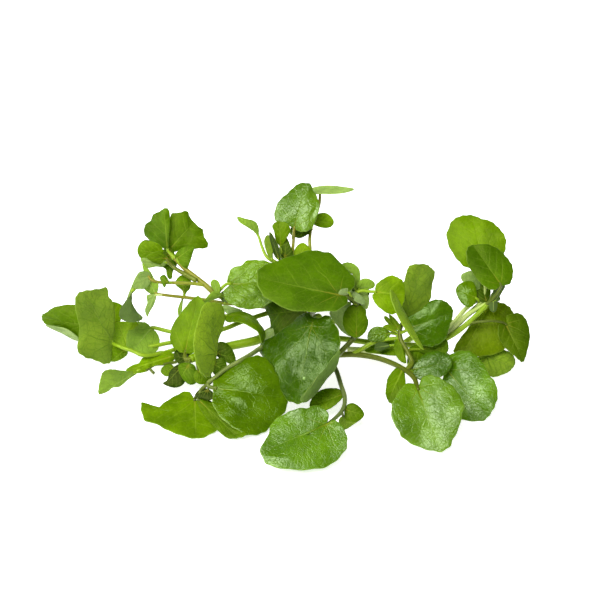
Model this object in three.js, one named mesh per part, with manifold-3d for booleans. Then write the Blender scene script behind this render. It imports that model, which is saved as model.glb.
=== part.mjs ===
// A loose bunch of cut watercress lying down, in millimetres, +Z up.
// The origin is on the surface below the middle of the bunch, and X runs along its length.
import * as THREE from 'three';
import { mergeVertices } from 'three/addons/utils/BufferGeometryUtils.js';
import Module from 'manifold-3d';

// Driving dimensions
const bladeThickness = 0.6;
const plainStalkSides = 4;
const stoutStalkSides = 6;
const stoutRadius = 1.05;
const stalkStep = 10;
const mostSectors = 14;
const fewestSectors = 11;
const smallSectors = 7;
const smallBlade = 14;
const innerRing = 0.58;
const foldSpread = 0.35;
const marginWaves = 5;
const wavePhase = 1.7;
const ovateSkew = 0.25;
const footRun = 0.05;
const finestEdge = 0.03;
const restHeight = 0.9;

// The lie of the bunch is set out as it is seen: across, up and height above the surface.
// Across and up are measured in an upright sheet that faces an eye looking down on the bunch.
const eyeElevation = THREE.MathUtils.degToRad(35);
const eyeDistance = 900;
const sheetCentre = [5.25, 34.3];
const middleOfBunch = [-1, 12.7];

// Colours read off the plant
const leafGreen = '#5e8a06';
const deepGreen = '#4c7405';
const brightGreen = '#74a312';
const yellowGreen = '#7e9d1c';

const acrossAxis = new THREE.Vector3(1, 0, 0);
const upAxis = new THREE.Vector3(0, Math.sin(eyeElevation), Math.cos(eyeElevation));
const eyeAxis = new THREE.Vector3(0, -Math.cos(eyeElevation), Math.sin(eyeElevation));
const eye = sheetPoint(...sheetCentre).addScaledVector(eyeAxis, eyeDistance);

function sheetPoint(across, up) {
  return acrossAxis.clone().multiplyScalar(across).addScaledVector(upAxis, up);
}

// The point at a given height that is seen at this place in the sheet
function spot([across, up, height]) {
  const ray = sheetPoint(across, up).sub(eye);
  return eye.clone().addScaledVector(ray, (height - eye.z) / ray.z);
}

// A smooth closed curve through the given points, at a turn from 0 to 1
function closedCurve(points, turn) {
  const count = points.length;
  const place = (((turn % 1) + 1) % 1) * count;
  const k = Math.floor(place);
  const t = place - k;
  const [a, b, c, d] = [-1, 0, 1, 2].map((step) => points[(k + step + count) % count]);
  return [0, 1].map((i) => 0.5 * (2 * b[i] + (c[i] - a[i]) * t
    + (2 * a[i] - 5 * b[i] + 4 * c[i] - d[i]) * t * t
    + (3 * b[i] - a[i] - 3 * c[i] + d[i]) * t * t * t));
}

// A leaf drawn by its outline in the sheet, on the plane through its foot, tip and one edge point.
// bend is how far its middle bulges to the eye, its rib sinks, its tip droops and its margin waves.
function leaf(name, face, foot, tip, edge, bend, rim) {
  const [dome, fold, droop, wave] = bend;
  const start = spot(foot);
  const along = spot(tip).sub(start);
  const length = along.length();
  along.normalize();
  const facing = along.clone().cross(spot(edge).sub(start)).normalize();
  if (facing.dot(eyeAxis) < 0) {
    facing.negate();
  }
  const acrossRib = facing.clone().cross(along);
  const onPlane = ([across, up]) => {
    const ray = sheetPoint(across, up).sub(eye);
    const reach = start.clone().sub(eye).dot(facing) / ray.dot(facing);
    return eye.clone().addScaledVector(ray, reach);
  };
  const flat = (place) => {
    const offset = onPlane(place).sub(start);
    return [offset.dot(along), offset.dot(acrossRib)];
  };
  const halfWidth = Math.max(...rim.map((place) => Math.abs(flat(place)[1])));
  const middle = [0, 1].map((i) => rim.reduce((sum, place) => sum + place[i], 0) / rim.length);
  const phase = wavePhase * rim.length + foot[0];
  const point = (turn, share) => {
    const out = closedCurve(rim, turn);
    const place = [0, 1].map((i) => middle[i] + share * (out[i] - middle[i]));
    return bent(place, turn, share);
  };
  const bent = (place, turn, share) => {
    const [run, side] = flat(place);
    const rise = dome * (1 - share * share)
      - fold * Math.exp(-Math.abs(side) / (foldSpread * halfWidth))
      - droop * (run / length) ** 2
      + wave * share ** 3 * Math.sin(2 * Math.PI * marginWaves * turn + phase);
    const base = onPlane(place);
    const toEye = eye.clone().sub(base).normalize();
    return base.addScaledVector(toEye, rise);
  };
  const ribPoint = (share) => {
    const place = [0, 1].map((i) => foot[i] + share * (tip[i] - foot[i]));
    return bent(place, 0, 1 - 2 * share);
  };
  return { name, face, point, ribPoint, corners: rim.length, size: length };
}

// A leaf seen edge on or curled, as a rib with a half width, turned about the rib by two rolls
function curled(name, face, rib, halfWidth, rolls, cup) {
  const curve = new THREE.CatmullRomCurve3(rib.map(spot), false, 'centripetal');
  const length = curve.getLength();
  const point = (turn, share) => {
    const angle = 2 * Math.PI * turn;
    const ovate = Math.sin(angle) * (1 + ovateSkew * Math.cos(angle));
    const run = 0.5 - 0.5 * share * Math.cos(angle);
    return placed(run, halfWidth * share * ovate);
  };
  const placed = (run, side) => {
    const t = THREE.MathUtils.clamp(run, 0, 1);
    const tangent = curve.getTangentAt(t);
    const level = tangent.clone().cross(eyeAxis).normalize();
    const raised = level.clone().cross(tangent).normalize();
    const roll = THREE.MathUtils.degToRad(rolls[0] + (rolls[1] - rolls[0]) * t);
    const sideways = level.clone().multiplyScalar(Math.cos(roll))
      .addScaledVector(raised, Math.sin(roll));
    const facing = sideways.clone().cross(tangent).normalize();
    const lift = cup * (side / halfWidth) ** 2;
    return curve.getPointAt(t).addScaledVector(sideways, side).addScaledVector(facing, lift);
  };
  const ribPoint = (share) => placed(share, 0);
  return { name, face, point, ribPoint, corners: fewestSectors, size: length };
}

// The thin closed solid of a leaf: the same triangles on both faces, joined round the rim
function bladeGeometry(blade) {
  const small = blade.size < smallBlade;
  const sectors = small ? Math.min(blade.corners, smallSectors)
    : THREE.MathUtils.clamp(blade.corners, fewestSectors, mostSectors);
  const rings = small ? [1] : [innerRing, 1];
  const grid = [[0, 0], ...rings.flatMap((share) => (
    Array.from({ length: sectors }, (unused, k) => [k / sectors, share])))];
  const middle = grid.map(([turn, share]) => blade.point(turn, share));
  const around = (ring, k) => 1 + ring * sectors + (k % sectors);
  const faces = [];
  for (let k = 0; k < sectors; k += 1) {
    faces.push([0, around(0, k), around(0, k + 1)]);
    for (let ring = 1; ring < rings.length; ring += 1) {
      faces.push([around(ring - 1, k), around(ring, k), around(ring, k + 1)]);
      faces.push([around(ring - 1, k), around(ring, k + 1), around(ring - 1, k + 1)]);
    }
  }
  const normals = middle.map(() => new THREE.Vector3());
  for (const [a, b, c] of faces) {
    const normal = middle[b].clone().sub(middle[a]).cross(middle[c].clone().sub(middle[a]));
    [a, b, c].forEach((corner) => normals[corner].add(normal));
  }
  const half = bladeThickness / 2;
  const front = middle.map((p, i) => p.clone().addScaledVector(normals[i].normalize(), half));
  const back = middle.map((p, i) => p.clone().addScaledVector(normals[i], -half));
  front.forEach((p, i) => layOnSurface(p, back[i]));
  const count = middle.length;
  const triangles = faces.flatMap(([a, b, c]) => [[a, b, c], [count + a, count + c, count + b]]);
  const outer = rings.length - 1;
  for (let k = 0; k < sectors; k += 1) {
    const a = around(outer, k);
    const b = around(outer, k + 1);
    triangles.push([a, count + a, count + b], [a, count + b, b]);
  }
  return closedGeometry([...front, ...back], triangles);
}

// What comes close to the surface lies flat on it, and nothing reaches below it
function layOnSurface(p, q) {
  const [lower, upper] = p.z < q.z ? [p, q] : [q, p];
  if (lower.z < restHeight) {
    lower.z = 0;
    upper.z = bladeThickness;
  }
}

// A round stalk along a smooth line through its points, from one radius to the other
function stalkGeometry(points, firstRadius, lastRadius) {
  const curve = new THREE.CatmullRomCurve3(points, false, 'centripetal');
  const sides = firstRadius > stoutRadius ? stoutStalkSides : plainStalkSides;
  // Corners stand out as far as gives a flat-sided stalk the section area of a round one
  const cornerRadius = Math.sqrt(2 * Math.PI / (sides * Math.sin(2 * Math.PI / sides)));
  const steps = Math.max(2, Math.round(curve.getLength() / stalkStep));
  const frames = curve.computeFrenetFrames(steps, false);
  const corners = [];
  for (let i = 0; i <= steps; i += 1) {
    const centre = curve.getPointAt(i / steps);
    const radius = cornerRadius * (firstRadius + (lastRadius - firstRadius) * (i / steps));
    centre.z = Math.max(centre.z, radius);
    for (let k = 0; k < sides; k += 1) {
      const angle = 2 * Math.PI * k / sides;
      corners.push(centre.clone()
        .addScaledVector(frames.normals[i], radius * Math.cos(angle))
        .addScaledVector(frames.binormals[i], radius * Math.sin(angle)));
    }
  }
  const at = (i, k) => i * sides + (k % sides);
  const triangles = [];
  for (let k = 0; k < sides; k += 1) {
    for (let i = 0; i < steps; i += 1) {
      triangles.push([at(i, k), at(i, k + 1), at(i + 1, k + 1)]);
      triangles.push([at(i, k), at(i + 1, k + 1), at(i + 1, k)]);
    }
    if (k > 0 && k < sides - 1) {
      triangles.push([at(0, 0), at(0, k + 1), at(0, k)]);
      triangles.push([at(steps, 0), at(steps, k), at(steps, k + 1)]);
    }
  }
  return closedGeometry(corners, triangles);
}

// Puts the corners and triangles in a geometry whose faces point outwards
function closedGeometry(corners, triangles) {
  const volume = triangles.reduce((sum, [a, b, c]) => (
    sum + corners[a].dot(corners[b].clone().cross(corners[c]))), 0);
  const outward = volume > 0 ? triangles : triangles.map(([a, b, c]) => [a, c, b]);
  const geometry = new THREE.BufferGeometry();
  geometry.setFromPoints(corners);
  geometry.setIndex(outward.flat());
  return geometry;
}

const wasm = await Module();
wasm.setup();

function solidOf(geometry) {
  const merged = mergeVertices(geometry, 1e-4);
  return new wasm.Manifold(new wasm.Mesh({
    numProp: 3,
    vertProperties: Float32Array.from(merged.attributes.position.array),
    triVerts: Uint32Array.from(merged.index.array),
  }));
}

function geometryOf(solid) {
  const mesh = solid.getMesh();
  const geometry = new THREE.BufferGeometry();
  geometry.setAttribute('position', new THREE.BufferAttribute(mesh.vertProperties, 3));
  geometry.setIndex(new THREE.BufferAttribute(mesh.triVerts, 1));
  geometry.translate(-middleOfBunch[0], -middleOfBunch[1], 0);
  return geometry;
}

// A stalk runs through its points, and into the foot of the leaf that it carries
function stalk(firstRadius, lastRadius, points, carries = null) {
  return { firstRadius, lastRadius, points, carries };
}

function stalkPath(one, blades) {
  const path = one.points.map(spot);
  if (one.carries) {
    const blade = blades.find((each) => each.name === one.carries);
    path.push(blade.ribPoint(0), blade.ribPoint(footRun));
  }
  return path;
}

const upper = 1;
const under = -1;

// Far left sprig
const farLeftBlades = [
  leaf('tallUnderside', under, [-60.5, 19.3, 9], [-70, 37, 25], [-66, 12.5, 4], [1, 0.8, 0, 0.5],
    [[-60.4, 19.5], [-61, 12.9], [-63.3, 12], [-66.5, 13.2], [-70, 14.2], [-72.6, 16.5], [-72.4, 20.5],
      [-72, 25], [-73.2, 30], [-73.5, 34.5], [-72.3, 36.8], [-69.5, 37.7], [-66, 38.1], [-62.3, 38.7],
      [-61.7, 35.8], [-60, 32.5], [-59.6, 25.5]]),
  leaf('outerPoint', upper, [-62, 24, 7], [-85, 28.2, 7], [-75, 32.6, 13], [1.5, 0.6, 0.5, 0.4],
    [[-62, 24], [-66, 31], [-73.5, 32.8], [-80.5, 31.9], [-83.5, 30], [-85.1, 29], [-84.8, 27],
      [-83, 25.2], [-78, 23.2], [-73, 20.6], [-66, 20]]),
  leaf('outerTurnedEdge', under, [-71.5, 20.8, 3], [-84, 25.6, 5.6], [-77, 24.3, 6.4], [0.2, 0, 0, 0],
    [[-71.7, 20.4], [-73.5, 22.3], [-76.7, 24.2], [-80, 25], [-83.8, 25.5], [-78, 22.4], [-74, 20.5]]),
  leaf('behindTall', upper, [-59.5, 25, 8], [-59.3, 33.6, 13], [-56.8, 30, 10], [0.4, 0, 0, 0.2],
    [[-59, 25], [-61.5, 28], [-61.3, 33], [-59.8, 33.6], [-57, 32.3], [-56.8, 29.5], [-57.8, 26.5]]),
  leaf('brightInner', upper, [-55, 18, 6], [-58.5, 26.4, 10.5], [-53, 24, 9.5], [0.8, 0.6, 0, 0.3],
    [[-55.5, 17.2], [-58.5, 17.5], [-60.5, 21], [-59.6, 26], [-55.5, 26.8], [-51.5, 26.3], [-52, 21.5]]),
  leaf('broadInner', under, [-46.6, 24.6, 9.5], [-53.5, 16.3, 6.5], [-44.5, 17.5, 6.5], [1.2, 0.6, 0, 0.3],
    [[-46.8, 24.8], [-49, 26.6], [-53, 26.3], [-55.2, 22.5], [-55.5, 18.2], [-53.8, 16.3], [-49.6, 14.1],
      [-46.3, 15.2], [-44.3, 17.3], [-43.8, 20.2], [-44.8, 22.8]]),
  leaf('lowerLobe', upper, [-56, 17.2, 6], [-60.3, 13.4, 3], [-56, 14.6, 3.5], [0.5, 0, 0, 0.2],
    [[-55.5, 17.2], [-59, 18.6], [-62, 17.5], [-61.7, 13.2], [-58.5, 13], [-55.3, 15.2]]),
  leaf('lowTwistInner', upper, [-40, 14.4, 5.5], [-54, 10, 4.5], [-45, 16, 6.5], [0.8, -0.5, 0, 0.3],
    [[-38.6, 13.4], [-39, 15.7], [-43, 16.4], [-47, 15.2], [-49.8, 13.9], [-51.2, 12], [-54, 11.1],
      [-55.7, 9.4], [-52.3, 8.6], [-48.8, 9.2], [-46, 11.3], [-41.5, 11.9]]),
  leaf('lowTwistOuter', under, [-52.5, 9, 4.2], [-64.3, 2, 0.6], [-60, 4, 1.2], [0.7, 0.3, 0, 0.2],
    [[-51.8, 8.8], [-57, 9.6], [-61, 10.1], [-63.7, 9.2], [-64.8, 6], [-65.4, 2.3], [-64.7, -0.1],
      [-63.2, 0.8], [-60.6, 3.5], [-58, 4], [-55, 6.3]]),
];
const farLeftStalks = [
  stalk(1, 0.7, [[12, 34, 7.5], [4, 32.2, 10], [-5, 30, 13], [-15, 26.7, 13.5], [-21, 24.3, 12],
    [-30, 22, 9.5], [-40, 23.2, 9.3]], 'broadInner'),
  stalk(0.85, 0.6, [[-27, 21.8, 10], [-33, 19, 6], [-40, 16.5, 5.5], [-46, 15, 7.2], [-50, 15, 8.2],
    [-53, 16.3, 8.8], [-57, 17.7, 9.2]], 'tallUnderside'),
  stalk(0.8, 0.65, [[-30, 20.7, 8], [-36, 19.8, 7.5], [-41, 19.2, 7.5], [-47, 18, 7.2], [-52, 18, 6.4]],
    'brightInner'),
  stalk(0.55, 0.5, [[-36, 17.6, 5.5], [-38.5, 15.5, 5.4]], 'lowTwistInner'),
  stalk(0.5, 0.45, [[-50, 10.2, 4.6], [-52, 9.4, 4.4]], 'lowTwistOuter'),
  stalk(0.5, 0.45, [[-50, 18, 6.8], [-55, 20, 7]], 'behindTall'),
  stalk(0.5, 0.45, [[-53.5, 17, 7], [-55, 17, 6.3]], 'lowerLobe'),
  stalk(0.55, 0.5, [[-50, 18.2, 6.9], [-56, 21, 6.6]], 'outerPoint'),
  stalk(0.5, 0.4, [[-68.6, 23.4, 5.2], [-70.4, 21.9, 4]], 'outerTurnedEdge'),
  stalk(0.55, 0.5, [[-38, 12.6, 4.6], [-42, 11.9, 4.6], [-45.6, 11.6, 4.6], [-48.6, 9.6, 4.2]]),
  stalk(0.5, 0.5, [[-47.6, 10.6, 4.3], [-46.6, 9.4, 3.8], [-45.8, 8.6, 3.4]]),
];

// Top left sprig, with the blistered leaf and the arched leaf beside it
const topLeftBlades = [
  leaf('crownLeft', upper, [-41, 51.5, 31], [-42.5, 66.3, 42], [-49, 58.5, 34.5], [1, -0.6, 0, 0.4],
    [[-41, 51.7], [-44.2, 53.4], [-46.7, 54.7], [-49.2, 57.3], [-48.9, 60.4], [-46.9, 62], [-46.1, 64.2],
      [-44, 65.3], [-42.1, 66.5], [-40.6, 65.8], [-40.2, 62], [-40.6, 56]]),
  leaf('crownRight', upper, [-41, 51.5, 30], [-31.5, 62, 37], [-28, 53, 30], [1, 0.6, 0, 0.5],
    [[-40.9, 51.3], [-40.6, 57], [-40.1, 64], [-37, 64.9], [-34.4, 65.4], [-33.2, 63.2], [-30.2, 60],
      [-28.9, 59], [-28.3, 56.2], [-26.9, 54.3], [-27.6, 52.5], [-31, 52.2], [-36, 51.8]]),
  leaf('crownSmall', upper, [-43, 50.5, 31.5], [-51.2, 51.8, 32], [-47.5, 55.2, 35.5], [0.8, 0.4, 0, 0.2],
    [[-42.6, 50.4], [-43.6, 53.5], [-47, 55], [-49.2, 55.3], [-51, 53.6], [-51.6, 51], [-49.8, 48.2],
      [-46.5, 48.6]]),
  leaf('crownBud', upper, [-41.8, 49, 31.5], [-48.3, 49.3, 32.5], [-45, 51, 34], [0.5, 0.3, 0, 0],
    [[-41.5, 49], [-43.5, 51.3], [-46, 51], [-48.5, 49.6], [-46.5, 47.8], [-43.5, 47]]),
  leaf('crownPale', under, [-42, 47.6, 30], [-50.2, 47.6, 30], [-46, 46.2, 28.5], [0.3, 0, 0, 0],
    [[-41.6, 48], [-46, 48.8], [-50.5, 48.8], [-48.5, 45.7], [-45, 46], [-42.5, 46]]),
  leaf('crownDark', upper, [-40.2, 50.5, 29.6], [-40.8, 42, 24], [-43, 46, 26.8], [0.5, 0.4, 0, 0.2],
    [[-40.2, 53], [-43, 51.4], [-43.5, 46.6], [-41.7, 45], [-41, 42], [-39.6, 41.8], [-39.2, 44.3],
      [-37.8, 46.5], [-38, 49]]),
  leaf('brightSide', upper, [-37.9, 48.8, 31], [-32, 52.8, 34.5], [-34, 46, 29.5], [0.7, 0.5, 0, 0.3],
    [[-38.6, 49.7], [-36.8, 52], [-34.3, 53.2], [-31.6, 53.2], [-32.2, 51], [-33.4, 47], [-34.5, 45.2],
      [-36.8, 47]]),
  leaf('paleTwistUpper', under, [-47.8, 42.6, 28.5], [-55, 35.6, 24], [-50.5, 44, 29.5], [0.4, 0.3, 0, 0],
    [[-47, 43.6], [-50.4, 44.4], [-52.2, 42.5], [-53.5, 39.5], [-55.4, 34.8], [-53.6, 36.6], [-52, 38],
      [-49, 38.3], [-47, 40.4]]),
  leaf('darkTwistLower', upper, [-54, 36.6, 24.5], [-50.4, 27.4, 18], [-57.8, 29, 18.5], [0.6, 0.4, 0, 0.3],
    [[-53.9, 36.8], [-55.3, 34.6], [-57.8, 30.6], [-57.6, 27.8], [-54.5, 26.5], [-51, 26.9], [-49.8, 28.2],
      [-51.8, 30.3], [-53.4, 33.2]]),
  leaf('paleHanging', under, [-45.2, 36.6, 24], [-48.6, 43, 27.5], [-44.3, 39.2, 26.5], [0.5, 0, 0, 0.2],
    [[-45, 36.3], [-47.3, 36.6], [-49.4, 38.7], [-48.8, 42], [-49.9, 47.2], [-47.5, 44.8], [-45.6, 41.6],
      [-44.3, 39.8]]),
  leaf('paleTail', under, [-45.6, 35.9, 23.6], [-48.2, 28.6, 18.5], [-48.4, 32, 20.6], [0.3, 0, 0, 0.1],
    [[-45.2, 36], [-48.2, 36], [-48.1, 33.3], [-48.9, 30.8], [-48.2, 28.4], [-47.4, 30], [-45.7, 33]]),
  leaf('hangingOval', upper, [-35.3, 36, 21.5], [-36, 43, 25.5], [-38.2, 40.3, 23.5], [0.5, 0.2, 0, 0.1],
    [[-35.2, 35.6], [-36, 37.6], [-38.3, 39.8], [-37.3, 42.2], [-35, 43.1], [-33, 41.5], [-33.2, 38.5],
      [-34.4, 37]]),
  leaf('thinHanging', under, [-35.9, 34.8, 20.5], [-36.9, 28.4, 16], [-37.5, 31, 17.5], [0.2, 0, 0, 0],
    [[-35.7, 35], [-36.7, 33.2], [-37.6, 30.5], [-37, 28.2], [-36.1, 30.2], [-35.8, 32.8]]),
  leaf('nubLeaf', upper, [-41.2, 40.4, 27.3], [-43.4, 42.4, 28.5], [-42.5, 39, 26.4], [0.4, 0, 0, 0],
    [[-40.6, 40.8], [-42.2, 43.1], [-43.8, 42.2], [-43.3, 40.8], [-42.2, 38.6], [-41.4, 40]]),
  leaf('blistered', upper, [-19.5, 40, 28.5], [-2, 40.5, 29], [-12, 31.2, 24], [2, 0.8, 0, 0.7],
    [[-19.2, 40], [-20.4, 41], [-19.9, 43.3], [-18.4, 45.5], [-15.2, 46.2], [-13.3, 47.9], [-10, 48.3],
      [-6.5, 47.9], [-3, 45.5], [-1.5, 40], [-4, 34.5], [-8.2, 31.6], [-13.5, 31.1], [-18, 32.3],
      [-20.7, 34.2], [-21.5, 37.3]]),
  leaf('smallUpright', under, [-23.8, 37, 25], [-24.8, 41.4, 28], [-22.7, 39, 27], [0.3, 0, 0, 0],
    [[-23.2, 36.8], [-25, 37.8], [-26, 40], [-25, 41.5], [-23.3, 40.8], [-22.6, 38.8]]),
  leaf('smallBright', upper, [-22.6, 36.2, 24.5], [-28.6, 33.2, 22], [-26, 36.8, 25.5], [0.4, 0.2, 0, 0],
    [[-22, 36.5], [-24.8, 37.4], [-26.8, 36], [-28.8, 33], [-25.5, 34.4], [-22.8, 35.4]]),
  leaf('smallGrey', under, [-21, 33.4, 20], [-21.2, 37.4, 24], [-22.8, 35.5, 22], [0.2, 0, 0, 0],
    [[-20.6, 33.2], [-22.4, 34.4], [-22.9, 36.2], [-21.2, 37.6], [-20.3, 35.4]]),
  leaf('greyUnder', under, [-22, 31.5, 19], [-15.2, 30.4, 18.5], [-19, 29.4, 17.5], [0.4, 0, 0, 0.1],
    [[-22, 31.8], [-20.8, 32.6], [-17.5, 31.6], [-14.8, 30.5], [-17, 29.4], [-20, 29.3]]),
  curled('archedLeaf', upper, [[-21, 28.9, 18.2], [-16, 28.9, 20.2], [-11.3, 26.8, 20.5],
    [-8.3, 23.4, 18.7], [-8.2, 19.2, 16]], 4.6, [62, 70], -0.8),
];
const topLeftStalks = [
  stalk(1.4, 0.7, [[6, 30, 11], [-5, 32, 15.5], [-15, 33.5, 19], [-24, 36.3, 22.5], [-28, 39.6, 25],
    [-31, 42, 26.5], [-35, 45.2, 28.3], [-38, 48.3, 29.8]], 'crownRight'),
  stalk(0.6, 0.55, [[-38, 48.6, 30], [-40, 50.4, 30.8]], 'crownLeft'),
  stalk(0.9, 0.5, [[-31, 41, 26.3], [-35, 43.3, 27.6], [-39, 45.8, 28.6], [-41.5, 48.4, 30.6]], 'crownSmall'),
  stalk(0.55, 0.5, [[-40.6, 47.6, 29.6], [-41.2, 48.6, 30.6]], 'crownBud'),
  stalk(0.5, 0.45, [[-40.4, 47, 29.2], [-41.4, 47.4, 29.8]], 'crownPale'),
  stalk(0.5, 0.45, [[-39, 48.5, 30], [-39.8, 50, 30.4]], 'crownDark'),
  stalk(0.5, 0.45, [[-36.6, 46.6, 29.2], [-37.6, 48, 30.2]], 'brightSide'),
  stalk(0.65, 0.5, [[-28.5, 39.6, 25.2], [-32, 40, 25.8], [-38, 40.3, 26.5], [-44, 40.5, 27.2],
    [-46.8, 41.4, 28]], 'paleTwistUpper'),
  stalk(0.5, 0.4, [[-52.8, 38.2, 26.2], [-53.7, 37.4, 25.2]], 'darkTwistLower'),
  stalk(0.75, 0.5, [[-13, 32.9, 18], [-21.5, 33.2, 19.6], [-28, 34.3, 20.6], [-35, 35.2, 21.8],
    [-42, 36, 23.4]], 'paleHanging'),
  stalk(0.45, 0.4, [[-43, 36.1, 23.6], [-45, 36.1, 23.8]], 'paleTail'),
  stalk(0.45, 0.4, [[-34, 35.1, 21.6], [-35, 35.5, 21.6]], 'hangingOval'),
  stalk(0.45, 0.4, [[-34.8, 35.2, 21.8], [-35.6, 35, 21]], 'thinHanging'),
  stalk(0.45, 0.4, [[-39.5, 40.4, 26.8], [-40.8, 40.4, 27]], 'nubLeaf'),
  stalk(0.65, 0.55, [[-24, 36.4, 23], [-22, 38.6, 26.4], [-20.6, 39.8, 28]], 'blistered'),
  stalk(0.5, 0.45, [[-24.4, 36.2, 22.7]], 'smallUpright'),
  stalk(0.5, 0.45, [[-21.6, 35.3, 21.6]], 'smallBright'),
  stalk(0.5, 0.45, [[-21, 33, 19.7]], 'smallGrey'),
  stalk(0.5, 0.45, [[-23.4, 33.6, 20], [-22.9, 32.2, 19.4]], 'greyUnder'),
  stalk(0.55, 0.5, [[-24, 33.8, 20], [-24.2, 30.5, 18.6], [-23, 29.2, 18.6]], 'archedLeaf'),
];

// Middle left sprig
const middleLeftBlades = [
  leaf('brightUpper', upper, [-35, 16, 10], [-30.2, 35.6, 24.5], [-40, 22, 12.5], [1, 0.8, 0, 0.4],
    [[-34.5, 15.4], [-37, 16.2], [-39.6, 18.8], [-40.2, 21.5], [-39, 26], [-35.5, 31], [-32.6, 34.4],
      [-30.5, 35.7], [-28.6, 34.2], [-27.5, 31], [-29, 25], [-30.5, 19], [-31.5, 16]]),
  leaf('tallTurned', under, [-24.2, 15.5, 13.5], [-28, 31, 26.5], [-31.6, 18, 20.5], [1.2, 0.3, 0, 0.3],
    [[-24, 15], [-25.2, 9.5], [-26.8, 7.2], [-29.4, 8.6], [-31.2, 12.3], [-31.9, 17], [-31.6, 22.5],
      [-30.3, 27.8], [-28.2, 33], [-25, 33.4], [-22.1, 32.5], [-21.1, 28.5], [-21.8, 23.5], [-23, 20.5]]),
  leaf('darkBehind', upper, [-24, 15.6, 10], [-17.6, 14, 9], [-21, 19.4, 12.5], [0.6, 0.4, 0, 0.2],
    [[-24.5, 15.5], [-23.3, 19.4], [-20.8, 19.2], [-18.6, 17.2], [-17.4, 14.5], [-17.2, 12], [-18.8, 11.8],
      [-21.5, 13]]),
  leaf('darkFront', upper, [-25, 12, 10.5], [-20.8, 9.6, 8.8], [-23.5, 13.6, 12], [0.5, 0, 0, 0.2],
    [[-25.6, 12], [-24, 13.7], [-21.5, 13.9], [-20.3, 11.4], [-20.6, 9.5], [-22.6, 8], [-25, 8.5]]),
  leaf('budLeft', upper, [-34, 11, 8], [-36.6, 7, 5], [-32, 8, 6], [0.7, 0.4, 0, 0.2],
    [[-34, 12.3], [-37, 11.8], [-37.2, 9.5], [-35.6, 6.4], [-33, 4.6], [-30.8, 6], [-31.4, 11]]),
  leaf('budRight', upper, [-30.4, 9.6, 8], [-27.4, 5.6, 5], [-31.2, 6.5, 5.8], [0.5, 0.3, 0, 0],
    [[-30.4, 10.4], [-32, 7.8], [-30.8, 5.2], [-28, 4.8], [-25.6, 6], [-26.2, 8.8], [-28.2, 10]]),
  leaf('shadeLeft', upper, [-33, 13.6, 7.6], [-38.6, 14.4, 7.6], [-35.4, 17.4, 9], [0.4, 0.2, 0, 0],
    [[-33, 12.2], [-36, 11.6], [-38.4, 13], [-38.8, 15.8], [-36.4, 17.6], [-33.4, 16.8]]),
  leaf('darkLow', upper, [-36.5, 10.6, 6.5], [-41.6, 5, 2.5], [-36.5, 4, 2.3], [0.7, 0.4, 0, 0.3],
    [[-36, 11.8], [-38.2, 11.4], [-40.2, 9.4], [-41.2, 6.4], [-42.7, 5], [-40.3, 3.9], [-37.6, 3.7],
      [-35.4, 5], [-34.5, 8]]),
  leaf('lightLow', upper, [-39, 10.4, 4.3], [-43.2, 8.8, 3.2], [-41.2, 11.8, 5], [0.3, 0.2, 0, 0],
    [[-38.6, 10], [-39.8, 11.7], [-42.4, 11.2], [-43.5, 9.2], [-41.8, 7.6], [-39.6, 8.2]]),
];
const middleLeftStalks = [
  stalk(1.75, 1.5, [[12, 28, 6.5], [4, 26, 9], [-5, 23.1, 11], [-9, 20.5, 10.6], [-19, 18.2, 9.8],
    [-27, 16, 9.4], [-33, 13.6, 9]]),
  stalk(1.2, 0.6, [[-31, 14.3, 9.2], [-34.4, 13.4, 8.8]], 'brightUpper'),
  stalk(0.8, 0.5, [[-25.5, 16.4, 9.6], [-24.4, 15.4, 11.6]], 'tallTurned'),
  stalk(0.6, 0.5, [[-27, 16, 9.4]], 'darkBehind'),
  stalk(0.6, 0.5, [[-28, 15.3, 9.4], [-26.4, 13, 10]], 'darkFront'),
  stalk(0.7, 0.5, [[-33, 13.6, 9]], 'budLeft'),
  stalk(0.6, 0.5, [[-31, 13.8, 9], [-30.6, 11.4, 8.6]], 'budRight'),
  stalk(0.6, 0.5, [[-33, 13.4, 9], [-35, 12, 7.6]], 'darkLow'),
  stalk(0.5, 0.45, [[-36, 11.4, 7.2], [-37.6, 11, 5]], 'lightLow'),
  stalk(0.5, 0.45, [[-31.4, 14, 9]], 'shadeLeft'),
];

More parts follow.
